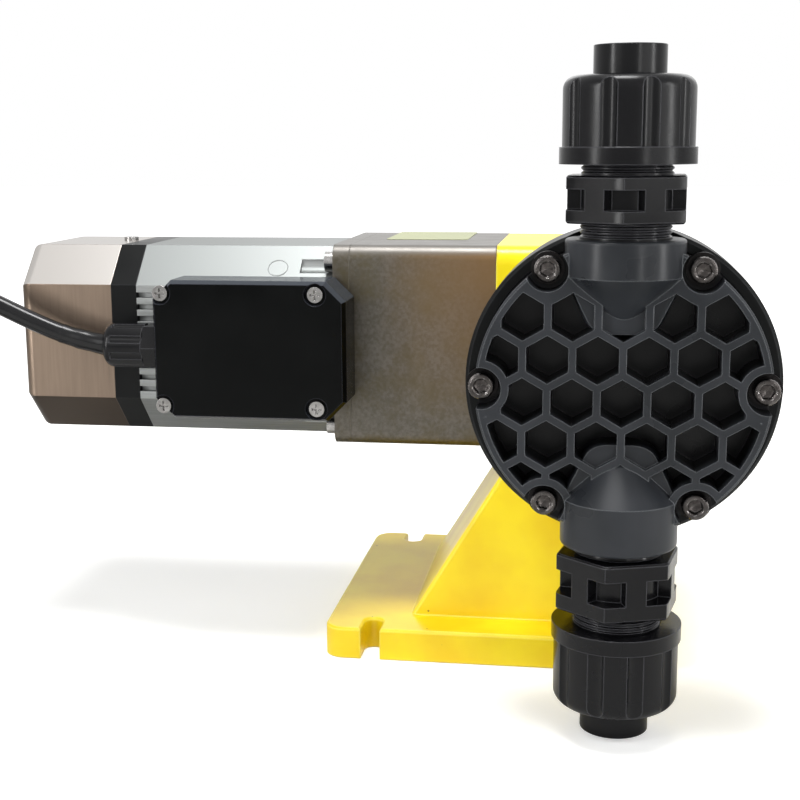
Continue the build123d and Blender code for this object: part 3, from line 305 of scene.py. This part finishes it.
def metalFaceMilled(name, colour, dark, stain, paintedLightOnTop, paintedHousingReflection):
    # die-cast and face-milled aluminium under clear lacquer: fine grit, brown-gold clouds from ageing lacquer, a
    # painted reflection of the yellow housing and a painted highlight on upper faces
    material, tree, shader, place = startMaterial(name)
    softNormal, onEdge = roundedEdges(tree, 0.8)
    grit = addNode(tree, "ShaderNodeTexNoise", {"Vector": place, "Scale": 700.0, "Detail": 3.0})
    cloud = addNode(tree, "ShaderNodeTexNoise", {"Vector": place, "Scale": 45.0, "Detail": 5.0, "Roughness": 0.7})
    base = blendOver(tree, grit.outputs["Fac"], 0.35, 0.65, dark, colour)
    agedAndPaintedLight = blendOver(tree, cloud.outputs["Fac"], 0.45, 0.7, base, stain)
    # painted reflection: gold-brown towards the upper end next to the drive housing, standing in for the yellow
    # housing reflected there
    along = addNode(tree, "ShaderNodeSeparateXYZ", {0: place})
    reach = addNode(tree, "ShaderNodeMapRange", {"Value": along.outputs["X"], "From Min": -0.055, "From Max": 0.0})
    height = addNode(tree, "ShaderNodeMapRange", {"Value": along.outputs["Z"], "From Min": 0.1, "From Max": 0.175,
                                                  "To Min": 0.05, "To Max": 1.0})
    paintedReflectionShare = addNode(tree, "ShaderNodeMath", {0: reach.outputs[0], 1: height.outputs[0]}, operation="MULTIPLY")
    agedAndPaintedLight = mixColours(tree, paintedReflectionShare.outputs[0], agedAndPaintedLight, paintedHousingReflection)
    # painted highlight on the faces that look up
    agedAndPaintedLight = paintedLightByTilt(tree, agedAndPaintedLight, paintedLightOnTop)
    tree.links.new(mixColours(tree, onEdge, agedAndPaintedLight, colour), shader.inputs["Base Color"])
    rough = addNode(tree, "ShaderNodeMapRange", {"Value": cloud.outputs["Fac"], "From Min": 0.3, "From Max": 0.7,
                                                 "To Min": 0.38, "To Max": 0.50})
    tree.links.new(rough.outputs[0], shader.inputs["Roughness"])
    bump = addNode(tree, "ShaderNodeBump", {"Height": grit.outputs["Fac"], "Strength": 0.12, "Distance": 0.0001,
                                            "Normal": softNormal})
    tree.links.new(bump.outputs["Normal"], shader.inputs["Normal"])
    setInputs(shader, Metallic=1.0)
    return material


def plasticMoulded(name, colour, pale, roughness, level, texture=420.0, arrisWearAndHighlight=None, edge=0.6, paintedLightOnTop=None,
                   paintedPocketShade=None):
    # injection moulded: one colour right through, slight sheen change where the melt flowed, arrises worn paler;
    # where colours are given, painted highlights on arrises and upper faces and painted shade in the pockets
    material, tree, shader, place = startMaterial(name)
    softNormal, onEdge = roundedEdges(tree, edge)
    flow = addNode(tree, "ShaderNodeTexNoise", {"Vector": place, "Scale": 35.0, "Detail": 3.0})
    shade = blendOver(tree, flow.outputs["Fac"], 0.35, 0.7, colour, pale)
    shade = mixColours(tree, onEdge, paintedLightByTilt(tree, shade, paintedLightOnTop), arrisWearAndHighlight or pale)
    if paintedPocketShade:
        # painted shade: the front shows grey, the pockets behind it are painted dark by depth as if in shade
        pocketShadeColour, start, stop = paintedPocketShade
        along = addNode(tree, "ShaderNodeSeparateXYZ", {0: place})
        shade = blendOver(tree, along.outputs["Y"], start * mm, stop * mm, shade, pocketShadeColour)
    tree.links.new(shade, shader.inputs["Base Color"])
    rough = addNode(tree, "ShaderNodeMapRange", {"Value": flow.outputs["Fac"], "From Min": 0.3, "From Max": 0.7,
                                                 "To Min": roughness - 0.05, "To Max": roughness + 0.07})
    tree.links.new(rough.outputs[0], shader.inputs["Roughness"])
    skin = addNode(tree, "ShaderNodeTexNoise", {"Vector": place, "Scale": texture, "Detail": 2.0})
    bump = addNode(tree, "ShaderNodeBump", {"Height": skin.outputs["Fac"], "Strength": 0.08, "Distance": 0.0002,
                                            "Normal": softNormal})
    tree.links.new(bump.outputs["Normal"], shader.inputs["Normal"])
    setInputs(shader, IOR=1.5, Specular_IOR_Level=level)
    return material


print("building materials")
# sprayed gloss yellow on the housing castings: clean and cool, bright where it faces up
lemonEnamelSprayed = enamelSprayed("lemonEnamelSprayed", "#f0de12", "#e4cf0c", "#f7ef7a")
# the same enamel on the foot, painted warmer and with darker clouds as a painted warm reflection
goldenEnamelSprayed = enamelSprayed("goldenEnamelSprayed", "#ecd31a", "#e0bd10", "#f6ea70")
# grey-brown metal with a dull satin sheen, a painted gold-brown reflection of the housing next to it, and a painted
# highlight on faces that look up
caseAluminiumMilled = metalFaceMilled("caseAluminiumMilled", "#64605a", "#57534b", "#57503f", "#6c6965", "#84694a")
# cool silver with hair lines along the fins, and painted shade on the top faces that dulls the glare there
motorAluminiumExtruded = metalBrushed("motorAluminiumExtruded", "#8f9190", "#7c7e7d", 0.46, (20, 900, 900), 0.5,
                                      paintedLightOnTop="#7e8180")
# brushed sheet tinted warm brown as a painted reflection of the room, with a painted highlight where it faces up and
# painted shade underneath
coverStainlessBrushed = metalBrushed("coverStainlessBrushed", "#7a6b5e", "#6d6055", 0.36, (900, 40, 40), 0.6,
                                     paintedLightOnTop="#b4b0ac", paintedShadeBelow="#463c33")
# thin even black paint, its arrises worn grey
blackPaintSprayed = plasticMoulded("blackPaintSprayed", "#08090a", "#0d0e0e", 0.34, 0.12, arrisWearAndHighlight="#2a2b2d")
# dark grey satin plastic: web faces catch the light, their arrises painted paler as a highlight, and painted shade
# takes the pockets to black
greyPvcMoulded = plasticMoulded("greyPvcMoulded", "#202225", "#2c2e32", 0.30, 0.22, arrisWearAndHighlight="#606366",
                                paintedPocketShade=("#050508", -141.5, -135.0))
# near-black glossy plastic, with painted highlights as narrow bright lines down its rib edges
blackNylonMoulded = plasticMoulded("blackNylonMoulded", "#050507", "#0a0a0c", 0.22, 0.2, arrisWearAndHighlight="#4a4a4e")
# jet black polished resin, with a painted slate-grey highlight on the faces that look up
blackBakeliteMoulded = plasticMoulded("blackBakeliteMoulded", "#060707", "#0a0b0b", 0.2, 0.07, arrisWearAndHighlight="#34353c",
                                      paintedLightOnTop="#3b3f45")
# bright turned heads with a hard glint
screwStainlessTurned = metalBrushed("screwStainlessTurned", "#a9a7a5", "#7c7a78", 0.24, (500, 500, 500), 0.4, 0.3)
# dark steel: its face is darkened as a painted dark reflection, and its rounded rim carries a painted bright
# highlight
screwSteelPaintedLight = metalBrushed("screwSteelPaintedLight", "#4a4644", "#302d2c", 0.22, (600, 600, 600), 0.5, 1.0,
                               arrisWearAndHighlight="#b5b1af")
# steel painted almost black as painted shade in the counterbore, a dull ring under each bright rim
washerSteelPaintedShade = metalBrushed("washerSteelPaintedShade", "#2c2a2a", "#1e1d1d", 0.34, (600, 600, 600), 0.5, 0.3)
# ground round: a sharp even shine with fine rings
shaftSteelGround = metalBrushed("shaftSteelGround", "#a9aaac", "#8d8e90", 0.22, (900, 60, 60), 0.5)
# drawn wire: mid grey, softer shine
springSteelDrawn = metalBrushed("springSteelDrawn", "#7f8082", "#636466", 0.30, (200, 200, 200), 0.5)
# stacked sheets: dull dark grey with lines across
coreSteelLaminated = metalBrushed("coreSteelLaminated", "#65666a", "#45464a", 0.45, (2000, 30, 30))
# varnished wire: red-brown under a clear gloss
wireCopperVarnished = metalBrushed("wireCopperVarnished", "#b8652c", "#8c461a", 0.28, (1200, 60, 60))
# porous bearing metal: soft gold, little shine
bushBronzeSintered = metalBrushed("bushBronzeSintered", "#b38a4c", "#8d6a35", 0.42, (300, 300, 300))
# satin pale grey collar with rings round it
bushAluminiumAnodised = metalBrushed("bushAluminiumAnodised", "#c3c5c7", "#a7a9ab", 0.32, (60, 900, 60), 0.5)
# matt black rubber
membraneRubberMoulded = plasticMoulded("membraneRubberMoulded", "#151515", "#1f1f1f", 0.62, 0.30)
# waxy white
seatPtfeTurned = plasticMoulded("seatPtfeTurned", "#e6e5e0", "#f0efea", 0.42, 0.40)
# ivory with a mirror glint
ballCeramicPolished = plasticMoulded("ballCeramicPolished", "#ece9e0", "#f4f2ea", 0.12, 0.60)
# smooth black jacket with one long highlight
sheathPvcExtruded = plasticMoulded("sheathPvcExtruded", "#08080a", "#0d0d0e", 0.2, 0.3)
# soft black grip, greyer at its edges
plugPvcMoulded = plasticMoulded("plugPvcMoulded", "#0c0c0d", "#131314", 0.40, 0.25, arrisWearAndHighlight="#2a2a2c")
# pale green-grey film with a satin face
labelPolyesterCoated = plasticMoulded("labelPolyesterCoated", "#9fa27f", "#abae8c", 0.5, 0.2, texture=900.0)
# yellow metal with a clean bright face
pinBrassStamped = metalBrushed("pinBrassStamped", "#c9a85c", "#a98a44", 0.24, (60, 900, 900), 0.5)

finishes = {
    goldenEnamelSprayed: ["base_stand"],
    lemonEnamelSprayed: ["drive_housing", "side_cover", "head_adapter"],
    caseAluminiumMilled: ["gearbox_case", "motor_flange"],
    motorAluminiumExtruded: ["motor_body"],
    coverStainlessBrushed: ["fan_cover"],
    blackPaintSprayed: ["rear_bell", "backing_plate"],
    greyPvcMoulded: ["pump_head"],
    blackNylonMoulded: ["discharge_valve_body", "suction_valve_body", "discharge_union_nut", "suction_union_nut",
                        "discharge_spigot", "suction_spigot",
                        "gland_body", "gland_nut", "adjuster_knob", "cooling_fan"],
    blackBakeliteMoulded: ["terminal_box", "terminal_lid", "terminal_block"],
    screwStainlessTurned: ["side_cover_screws", "gearbox_screws", "fan_cover_screws", "terminal_lid_screws",
                           "adapter_screws", "head_bolts", "head_nuts"],
    washerSteelPaintedShade: ["head_washers"],
    shaftSteelGround: ["output_bearings", "motor_bearings", "rotor_shaft", "idler_shaft", "output_shaft",
                       "eccentric", "eccentric_bearing", "push_rod", "diaphragm_insert", "adjuster_spindle",
                       "idler_gear", "output_gear"],
    springSteelDrawn: ["return_spring"],
    coreSteelLaminated: ["rotor_core", "stator_core"],
    wireCopperVarnished: ["stator_windings"],
    bushBronzeSintered: ["rod_bush"],
    bushAluminiumAnodised: ["adjuster_bush"],
    membraneRubberMoulded: ["diaphragm"],
    seatPtfeTurned: ["discharge_seat", "suction_seat"],
    ballCeramicPolished: ["discharge_ball", "suction_ball"],
    plugPvcMoulded: ["plug_body"],
    pinBrassStamped: ["plug_pins"],
}
for material, names in finishes.items():
    for name in names:
        for materialSlot in cadNodes[name].material_slots:
            materialSlot.material = material
cord.data.materials.append(sheathPvcExtruded)
print("finishes given to", sum(len(names) for names in finishes.values()), "nodes")


def ringPoints(place, radius, height, angles):
    # radius is one size, or a function of the angle
    points = []
    for angle in angles:
        reach = radius(angle) if callable(radius) else radius
        points.append(place @ Vector((reach * math.cos(angle), reach * math.sin(angle), height)))
    return points


mergeWithin = 1e-6
creaseFrom = 32


def skinRings(name, rings, material, closed=False):
    # a skin over rings of equal count, its ends capped, or joined end to start where it is closed
    skin = bmesh.new()
    rows = [[skin.verts.new(point * mm) for point in ring] for ring in rings]
    pairs = list(zip(rows, rows[1:]))
    if closed:
        pairs.append((rows[-1], rows[0]))
    else:
        skin.faces.new(rows[0][::-1])
        skin.faces.new(rows[-1])
    for first, second in pairs:
        for i in range(len(first)):
            j = (i + 1) % len(first)
            skin.faces.new((first[i], first[j], second[j], second[i]))
    bmesh.ops.remove_doubles(skin, verts=skin.verts, dist=mergeWithin)
    bmesh.ops.recalc_face_normals(skin, faces=skin.faces)
    mesh = bpy.data.meshes.new(name)
    skin.to_mesh(mesh)
    skin.free()
    mesh.shade_smooth()
    mesh.set_sharp_from_angle(angle=math.radians(creaseFrom))
    mesh.materials.append(material)
    return linkObject(name, mesh)


def evenAngles(count):
    return [2 * math.pi * i / count for i in range(count)]


headScrew = {
    "headRadius": 5.0,
    "headHeight": 6.0,
    "rim": 1.1,
    "rimSteps": (0.35, 0.7, 1.0),
    "underBevel": (0.3, 0.35),
    "knurls": 24,
    "knurlSamples": 4,
    "knurlDepth": 0.16,
    "faceDish": (0.5, 0.05),
    "socketFlats": 5.0,
    "socketDepth": 3.2,
    "socketTurn": 0.3,
    "countersinkShare": 0.62,
    "countersinkHeights": (0.12, 0.55),
    "drillPoint": (0.3, 0.9),
    "shankRadius": 3.0,
    "reachBack": 39.8,
    "threadTurns": 7,
    "threadPitch": 1.0,
    "threadDepth": 0.35,
    "plainFrom": 8.0,
    "tipBevel": 0.6,
    "seatY": -132.6,
    "circle": 52.0,
    "angles": (0.0, 57.5, 122.5, 180.0, 237.5, 302.5),
    "centre": (52.0, 135.0),
}


def hexRadius(flats, turn=0.0):
    sixth = math.pi / 3
    return lambda angle: flats / 2 / math.cos((angle + turn) % sixth - sixth / 2)


def shankRings(settings, place, angles):
    # from the tip: bevel, rolled thread, plain shank up to the seat
    shank, back = settings["shankRadius"], -settings["reachBack"]
    rings = [ringPoints(place, shank - settings["tipBevel"], back, angles)]
    for i in range(settings["threadTurns"]):
        for radius, step in ((shank, 0.5), (shank - settings["threadDepth"], 1.0)):
            rings.append(ringPoints(place, radius, back + (i + step) * settings["threadPitch"], angles))
    rings.append(ringPoints(place, shank, back + settings["plainFrom"], angles))
    rings.append(ringPoints(place, shank, 0, angles))
    return rings


def headRings(settings, place, angles, index):
    # from the seat: knurled side, turned rim, countersunk hexagon socket with a drilled floor
    head, high, rim = (settings[k] for k in ("headRadius", "headHeight", "rim"))
    knurled = lambda a: head - settings["knurlDepth"] * (0.5 - 0.5 * math.cos(settings["knurls"] * a))
    socket = hexRadius(settings["socketFlats"], settings["socketTurn"] * index)
    bevelIn, bevelUp = settings["underBevel"]
    rings = [ringPoints(place, head - bevelIn, 0, angles)]
    rings.append(ringPoints(place, knurled, bevelUp, angles))
    rings.append(ringPoints(place, knurled, high - rim, angles))
    for share in settings["rimSteps"]:
        bend = share * math.pi / 2
        rings.append(ringPoints(place, head - rim + rim * math.cos(bend), high - rim + rim * math.sin(bend), angles))
    dishIn, dishDown = settings["faceDish"]
    rings.append(ringPoints(place, head - rim - dishIn, high - dishDown, angles))
    sinkTop, sinkFoot = settings["countersinkHeights"]
    rings.append(ringPoints(place, settings["socketFlats"] * settings["countersinkShare"], high - sinkTop, angles))
    rings.append(ringPoints(place, socket, high - sinkFoot, angles))
    rings.append(ringPoints(place, socket, high - settings["socketDepth"], angles))
    pointRadius, pointDepth = settings["drillPoint"]
    rings.append(ringPoints(place, pointRadius, high - settings["socketDepth"] - pointDepth, angles))
    return rings


def makeHeadScrew(settings, index):
    angle = math.radians(settings["angles"][index])
    cx, cz = settings["centre"]
    spot = (cx + settings["circle"] * math.cos(angle), settings["seatY"], cz + settings["circle"] * math.sin(angle))
    place = Matrix.Translation(spot) @ Matrix.Rotation(math.radians(90), 4, "X")
    angles = evenAngles(settings["knurls"] * settings["knurlSamples"])
    rings = shankRings(settings, place, angles) + headRings(settings, place, angles, index)
    screw = skinRings(f"headScrew{index + 1}", rings, screwSteelPaintedLight)
    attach(screw, "frame")
    return screw


for index in range(len(headScrew["angles"])):
    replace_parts(makeHeadScrew(headScrew, index), "head_bolts")
print("head screws made")


valveBody = {
    "cornerRadius": 24.4,
    "neckRadius": 16.6,
    "threadDepth": 0.7,
    "threadPitch": 1.9,
    "threadCrest": (0.3, 0.8),
    "threadRoot": (1.3, 1.6),
    "boreRadius": 9.6,
    "cornerRounding": 0.35,
    "webWidth": 8.0,
    "windowSteps": 4,
    "bandShare": 0.285,
    "chamfer": 0.7,
    "inBoss": 8.8,
}
valves = (
    {"name": "dischargeValveBody", "node": "discharge_valve_body", "place": (52.0, -134.0, 190.0), "flip": 0,
     "corner": -93.0, "levels": (5.8, 22.8, 26.6, 48.8)},
    {"name": "suctionValveBody", "node": "suction_valve_body", "place": (52.0, -134.0, 75.5), "flip": 180,
     "corner": 101.0, "levels": (2.8, 24.6, 30.6, 54.2)},
)


def windowAngles(settings):
    # round the hexagon from corner to corner: angle outside, angle on the core, and whether it is on a web
    flat = settings["cornerRadius"] * math.cos(math.radians(30))
    onHex = 30 - math.degrees(math.atan(settings["webWidth"] / 2 / flat))
    onCore = 30 - math.degrees(math.asin(settings["webWidth"] / 2 / settings["neckRadius"]))
    steps = settings["windowSteps"]
    firstHalf = [(onHex * i / steps, onCore * i / steps, False) for i in range(steps + 1)]
    secondHalf = [(60 - outer, 60 - inner, False) for outer, inner, isWeb in firstHalf[:0:-1]]
    web = [(angle, angle, True) for angle in (onHex, 30.0, 60 - onHex)]
    sixth = firstHalf + web + secondHalf
    return [(math.radians(60 * k + outer), math.radians(60 * k + inner), isWeb)
            for k in range(6) for outer, inner, isWeb in sixth]


def makeValveBody(settings, valve):
    # moulded body: hexagon with a window through each corner, a web on each flat, threads above and below
    place = Matrix.Translation(valve["place"]) @ Matrix.Rotation(math.radians(valve["flip"]), 4, "X")
    place = place @ Matrix.Rotation(math.radians(valve["corner"]), 4, "Z")
    low, high, nutLow, end = valve["levels"]
    samples = windowAngles(settings)
    outer = [sample[0] for sample in samples]
    neck, bore, chamfer = (settings[k] for k in ("neckRadius", "boreRadius", "chamfer"))
    corner = settings["cornerRadius"]
    flat = corner * math.cos(math.radians(30))
    hexagon = lambda a: min(flat / math.cos(a % (math.pi / 3) - math.pi / 6), corner - settings["cornerRounding"])
    bevelled = lambda a: hexagon(a) - chamfer
    band = settings["bandShare"] * (high - low)

    def ring(radius, height):
        return ringPoints(place, radius, height, outer)

    def windowRing(height):
        points = []
        for onHex, onCore, isWeb in samples:
            reach = hexagon(onHex) if isWeb else neck
            points.append(place @ Vector((reach * math.cos(onCore), reach * math.sin(onCore), height)))
        return points

    def thread(start, stop):
        rings = []
        for i in range(int((stop - start) / settings["threadPitch"])):
            base = start + i * settings["threadPitch"]
            rings += [ring(neck, base + step) for step in settings["threadCrest"]]
            rings += [ring(neck - settings["threadDepth"], base + step) for step in settings["threadRoot"]]
        return rings

    rings = [ring(neck, -settings["inBoss"]), ring(neck, 0), *thread(0, low)]
    rings += [ring(neck, low), ring(bevelled, low), ring(hexagon, low + chamfer), ring(hexagon, low + band)]
    rings += [windowRing(low + band), windowRing(high - band)]
    rings += [ring(hexagon, high - band), ring(hexagon, high - chamfer), ring(bevelled, high), ring(neck, high)]
    rings += [*thread(high, nutLow), ring(neck, nutLow), ring(neck, end)]
    rings += [ring(bore, end), ring(bore, -settings["inBoss"])]
    body = skinRings(valve["name"], rings, blackNylonMoulded, closed=True)
    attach(body, "frame")
    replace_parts(body, valve["node"])


for valve in valves:
    makeValveBody(valveBody, valve)
print("valve bodies made")


def makeSpring():
    # the drawn coil, on its own copy of the frame's mesh; on the pump it shortens from its fixed end as the rod moves
    coil = linkObject("returnSpring", cadNodes["return_spring"].data.copy())
    coil.matrix_world = cadNodes["return_spring"].matrix_world.copy()
    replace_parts(coil, "return_spring")
    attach(coil, "frame")
    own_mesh(coil)


makeSpring()
print("spring made")


cordSleeve = {
    "length": 22.0,
    "startRadius": 5.1,
    "endRadius": 4.4,
    "grooves": 5,
    "grooveDepth": 0.3,
    "count": 32,
}


def makeCordSleeve(settings):
    # moulded bend relief: a tapered sleeve with flex grooves, from the gland's mouth along the cord
    travelled = 0.0
    rings = []
    angles = evenAngles(settings["count"])
    for first, second in zip(cordPoints, cordPoints[1:]):
        share = travelled / (settings["length"] * mm)
        if share > 1:
            break
        radius = settings["startRadius"] + (settings["endRadius"] - settings["startRadius"]) * share
        wave = 0.5 - 0.5 * math.cos(2 * math.pi * settings["grooves"] * share)
        turn = (second - first).to_track_quat("Z", "Y").to_matrix().to_4x4()
        place = Matrix.Translation(first / mm) @ turn
        rings.append(ringPoints(place, radius - settings["grooveDepth"] * wave, 0, angles))
        travelled += (second - first).length
    sleeve = skinRings("cordSleeve", rings, sheathPvcExtruded)
    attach(sleeve, "frame")


makeCordSleeve(cordSleeve)
print("cord sleeve made")


caseLabel = {
    "centre": (-37.0, 16.0, 180.0),
    "size": (38.0, 50.0),
    "corner": 2.0,
    "cornerSteps": 4,
    "thick": 0.3,
    "edge": ((0.0, 0.0), (0.0, 0.6), (0.15, 1.0)),
}


def roundedRect(settings, inset, height):
    width, depth = settings["size"]
    cx, cy, cz = settings["centre"]
    radius = settings["corner"]
    points = []
    steps = settings["cornerSteps"]
    for sx, sy, start in ((1, 1, 0), (-1, 1, 90), (-1, -1, 180), (1, -1, 270)):
        for step in range(steps + 1):
            angle = math.radians(start + step * 90 / steps)
            x = sx * (width / 2 - radius) + (radius - inset) * math.cos(angle)
            y = sy * (depth / 2 - radius) + (radius - inset) * math.sin(angle)
            points.append(Vector((cx + x, cy + y, cz + height)))
    return points


def makeCaseLabel(settings):
    # bare polyester label on the gear case, its edge a little rounded
    rings = [roundedRect(settings, inset, settings["thick"] * share) for inset, share in settings["edge"]]
    label = skinRings("caseLabel", rings, labelPolyesterCoated)
    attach(label, "frame")


makeCaseLabel(caseLabel)


motorMark = {
    "centre": (-101.4, -35.6, 168.8),
    "radius": 4.5,
    "width": 0.35,
    "height": 0.18,
    "shoulder": 0.6,
    "sunk": 0.2,
    "tilt": 45,
    "samples": 64,
}


def makeMotorMark(settings):
    # plain raised ring on the sloping facet, bare inside
    place = Matrix.Translation(settings["centre"]) @ Matrix.Rotation(math.radians(settings["tilt"]), 4, "X")
    angles = evenAngles(settings["samples"])
    middle, half, high, sunk = settings["radius"], settings["width"] / 2, settings["height"], -settings["sunk"]
    low = high * settings["shoulder"]
    outside, inside = middle + half, middle - half
    profile = ((outside, sunk), (outside, low), (middle, high), (inside, low), (inside, sunk))
    rings = [ringPoints(place, radius, height, angles) for radius, height in profile]
    mark = skinRings("motorMark", rings, motorAluminiumExtruded, closed=True)
    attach(mark, "frame")


makeMotorMark(motorMark)
print("label and mark made")


stageSettings = {
    "floorHalf": 6.0,
    "floorDrop": 0.3,
    "floorShades": ("#efefed", "#f4f4f2"),
    "glowFrom": 0.35,
    "glowTo": 1.3,
    "glowNear": 0.42,
    "glowFar": 1.0,
    "ambient": 0.22,
}


def makeFloor(settings):
    mesh = bpy.data.meshes.new("floor")
    grid = bmesh.new()
    bmesh.ops.create_grid(grid, x_segments=8, y_segments=8, size=settings["floorHalf"])
    grid.to_mesh(mesh)
    grid.free()
    floor = linkObject("floor", mesh)
    floor.location.z = -settings["floorDrop"] * mm
    # matt paper sweep: stays pale, keeps the soft shadow
    material, tree, shader, place = startMaterial("paperMattRolled")
    fibre = addNode(tree, "ShaderNodeTexNoise", {"Vector": place, "Scale": 60.0, "Detail": 4.0})
    shade = addNode(tree, "ShaderNodeValToRGB", {"Fac": fibre.outputs["Fac"]})
    for element, colour in zip(shade.color_ramp.elements, settings["floorShades"]):
        element.color = toLinear(colour)
    tree.links.new(shade.outputs["Color"], shader.inputs["Base Color"])
    setInputs(shader, Roughness=0.9, Specular_IOR_Level=0.1)
    # the sweep rises to clean white away from the object
    distance = addNode(tree, "ShaderNodeVectorMath", {0: place}, operation="LENGTH")
    glow = addNode(tree, "ShaderNodeMapRange", {"Value": distance.outputs["Value"], "From Min": settings["glowFrom"],
                                                "From Max": settings["glowTo"], "To Min": settings["glowNear"],
                                                "To Max": settings["glowFar"]})
    path = addNode(tree, "ShaderNodeLightPath")
    seen = addNode(tree, "ShaderNodeMath", {0: path.outputs["Is Camera Ray"], 1: glow.outputs[0]},
                   operation="MULTIPLY")
    tree.links.new(seen.outputs[0], shader.inputs["Emission Strength"])
    setInputs(shader, Emission_Color=(1, 1, 1, 1))
    mesh.materials.append(material)


def makeWorld(settings):
    world = bpy.data.worlds.new("studio")
    bpy.context.scene.world = world
    world.use_nodes = True
    tree = world.node_tree
    tree.nodes.clear()
    path = addNode(tree, "ShaderNodeLightPath")
    first = addNode(tree, "ShaderNodeMath", {0: path.outputs["Is Camera Ray"], 1: path.outputs["Is Glossy Ray"]},
                    operation="MAXIMUM")
    white = addNode(tree, "ShaderNodeMath", {0: first.outputs[0], 1: path.outputs["Is Transmission Ray"]},
                    operation="MAXIMUM")
    strength = addNode(tree, "ShaderNodeMapRange", {"Value": white.outputs[0], "To Min": settings["ambient"],
                                                    "To Max": 1.0})
    back = addNode(tree, "ShaderNodeBackground", {"Color": (1, 1, 1, 1), "Strength": strength.outputs[0]})
    addNode(tree, "ShaderNodeOutputWorld", {"Surface": back.outputs[0]})


lamps = (
    {"name": "overhead", "place": (-0.05, -0.15, 1.25), "aim": (0, 0, 0.1), "size": (0.45, 0.35), "power": 13},
    {"name": "frontLeft", "place": (-0.9, -1.1, 0.75), "aim": (0, 0, 0.12), "size": (0.8, 0.8), "power": 4},
    {"name": "frontRight", "place": (1.0, -0.9, 0.5), "aim": (0, 0, 0.12), "size": (0.6, 0.8), "power": 2.5},
    {"name": "behind", "place": (0.1, 1.2, 0.9), "aim": (0, 0, 0.15), "size": (1.2, 0.8), "power": 3},
    {"name": "stripLeft", "place": (-0.78, -0.69, 0.32), "aim": (0.05, -0.13, 0.14), "size": (0.08, 0.9), "power": 5},
    {"name": "stripRight", "place": (1.01, -0.41, 0.3), "aim": (0.05, -0.13, 0.14), "size": (0.08, 0.9), "power": 5},
    {"name": "stripNear", "place": (0.54, -1.0, 0.3), "aim": (0.05, -0.13, 0.14), "size": (0.04, 0.8), "power": 1.8},
)


def makeLamp(settings):
    data = bpy.data.lights.new(settings["name"], "AREA")
    data.shape = "RECTANGLE"
    data.size, data.size_y = settings["size"]
    data.energy = settings["power"]
    lamp = linkObject(settings["name"], data)
    lamp.location = settings["place"]
    aim = Vector(settings["aim"]) - Vector(settings["place"])
    lamp.rotation_euler = aim.to_track_quat("-Z", "Y").to_euler()


makeFloor(stageSettings)
makeWorld(stageSettings)
for settings in lamps:
    makeLamp(settings)
print("floor and lamps set")

bpy.context.view_layer.update()
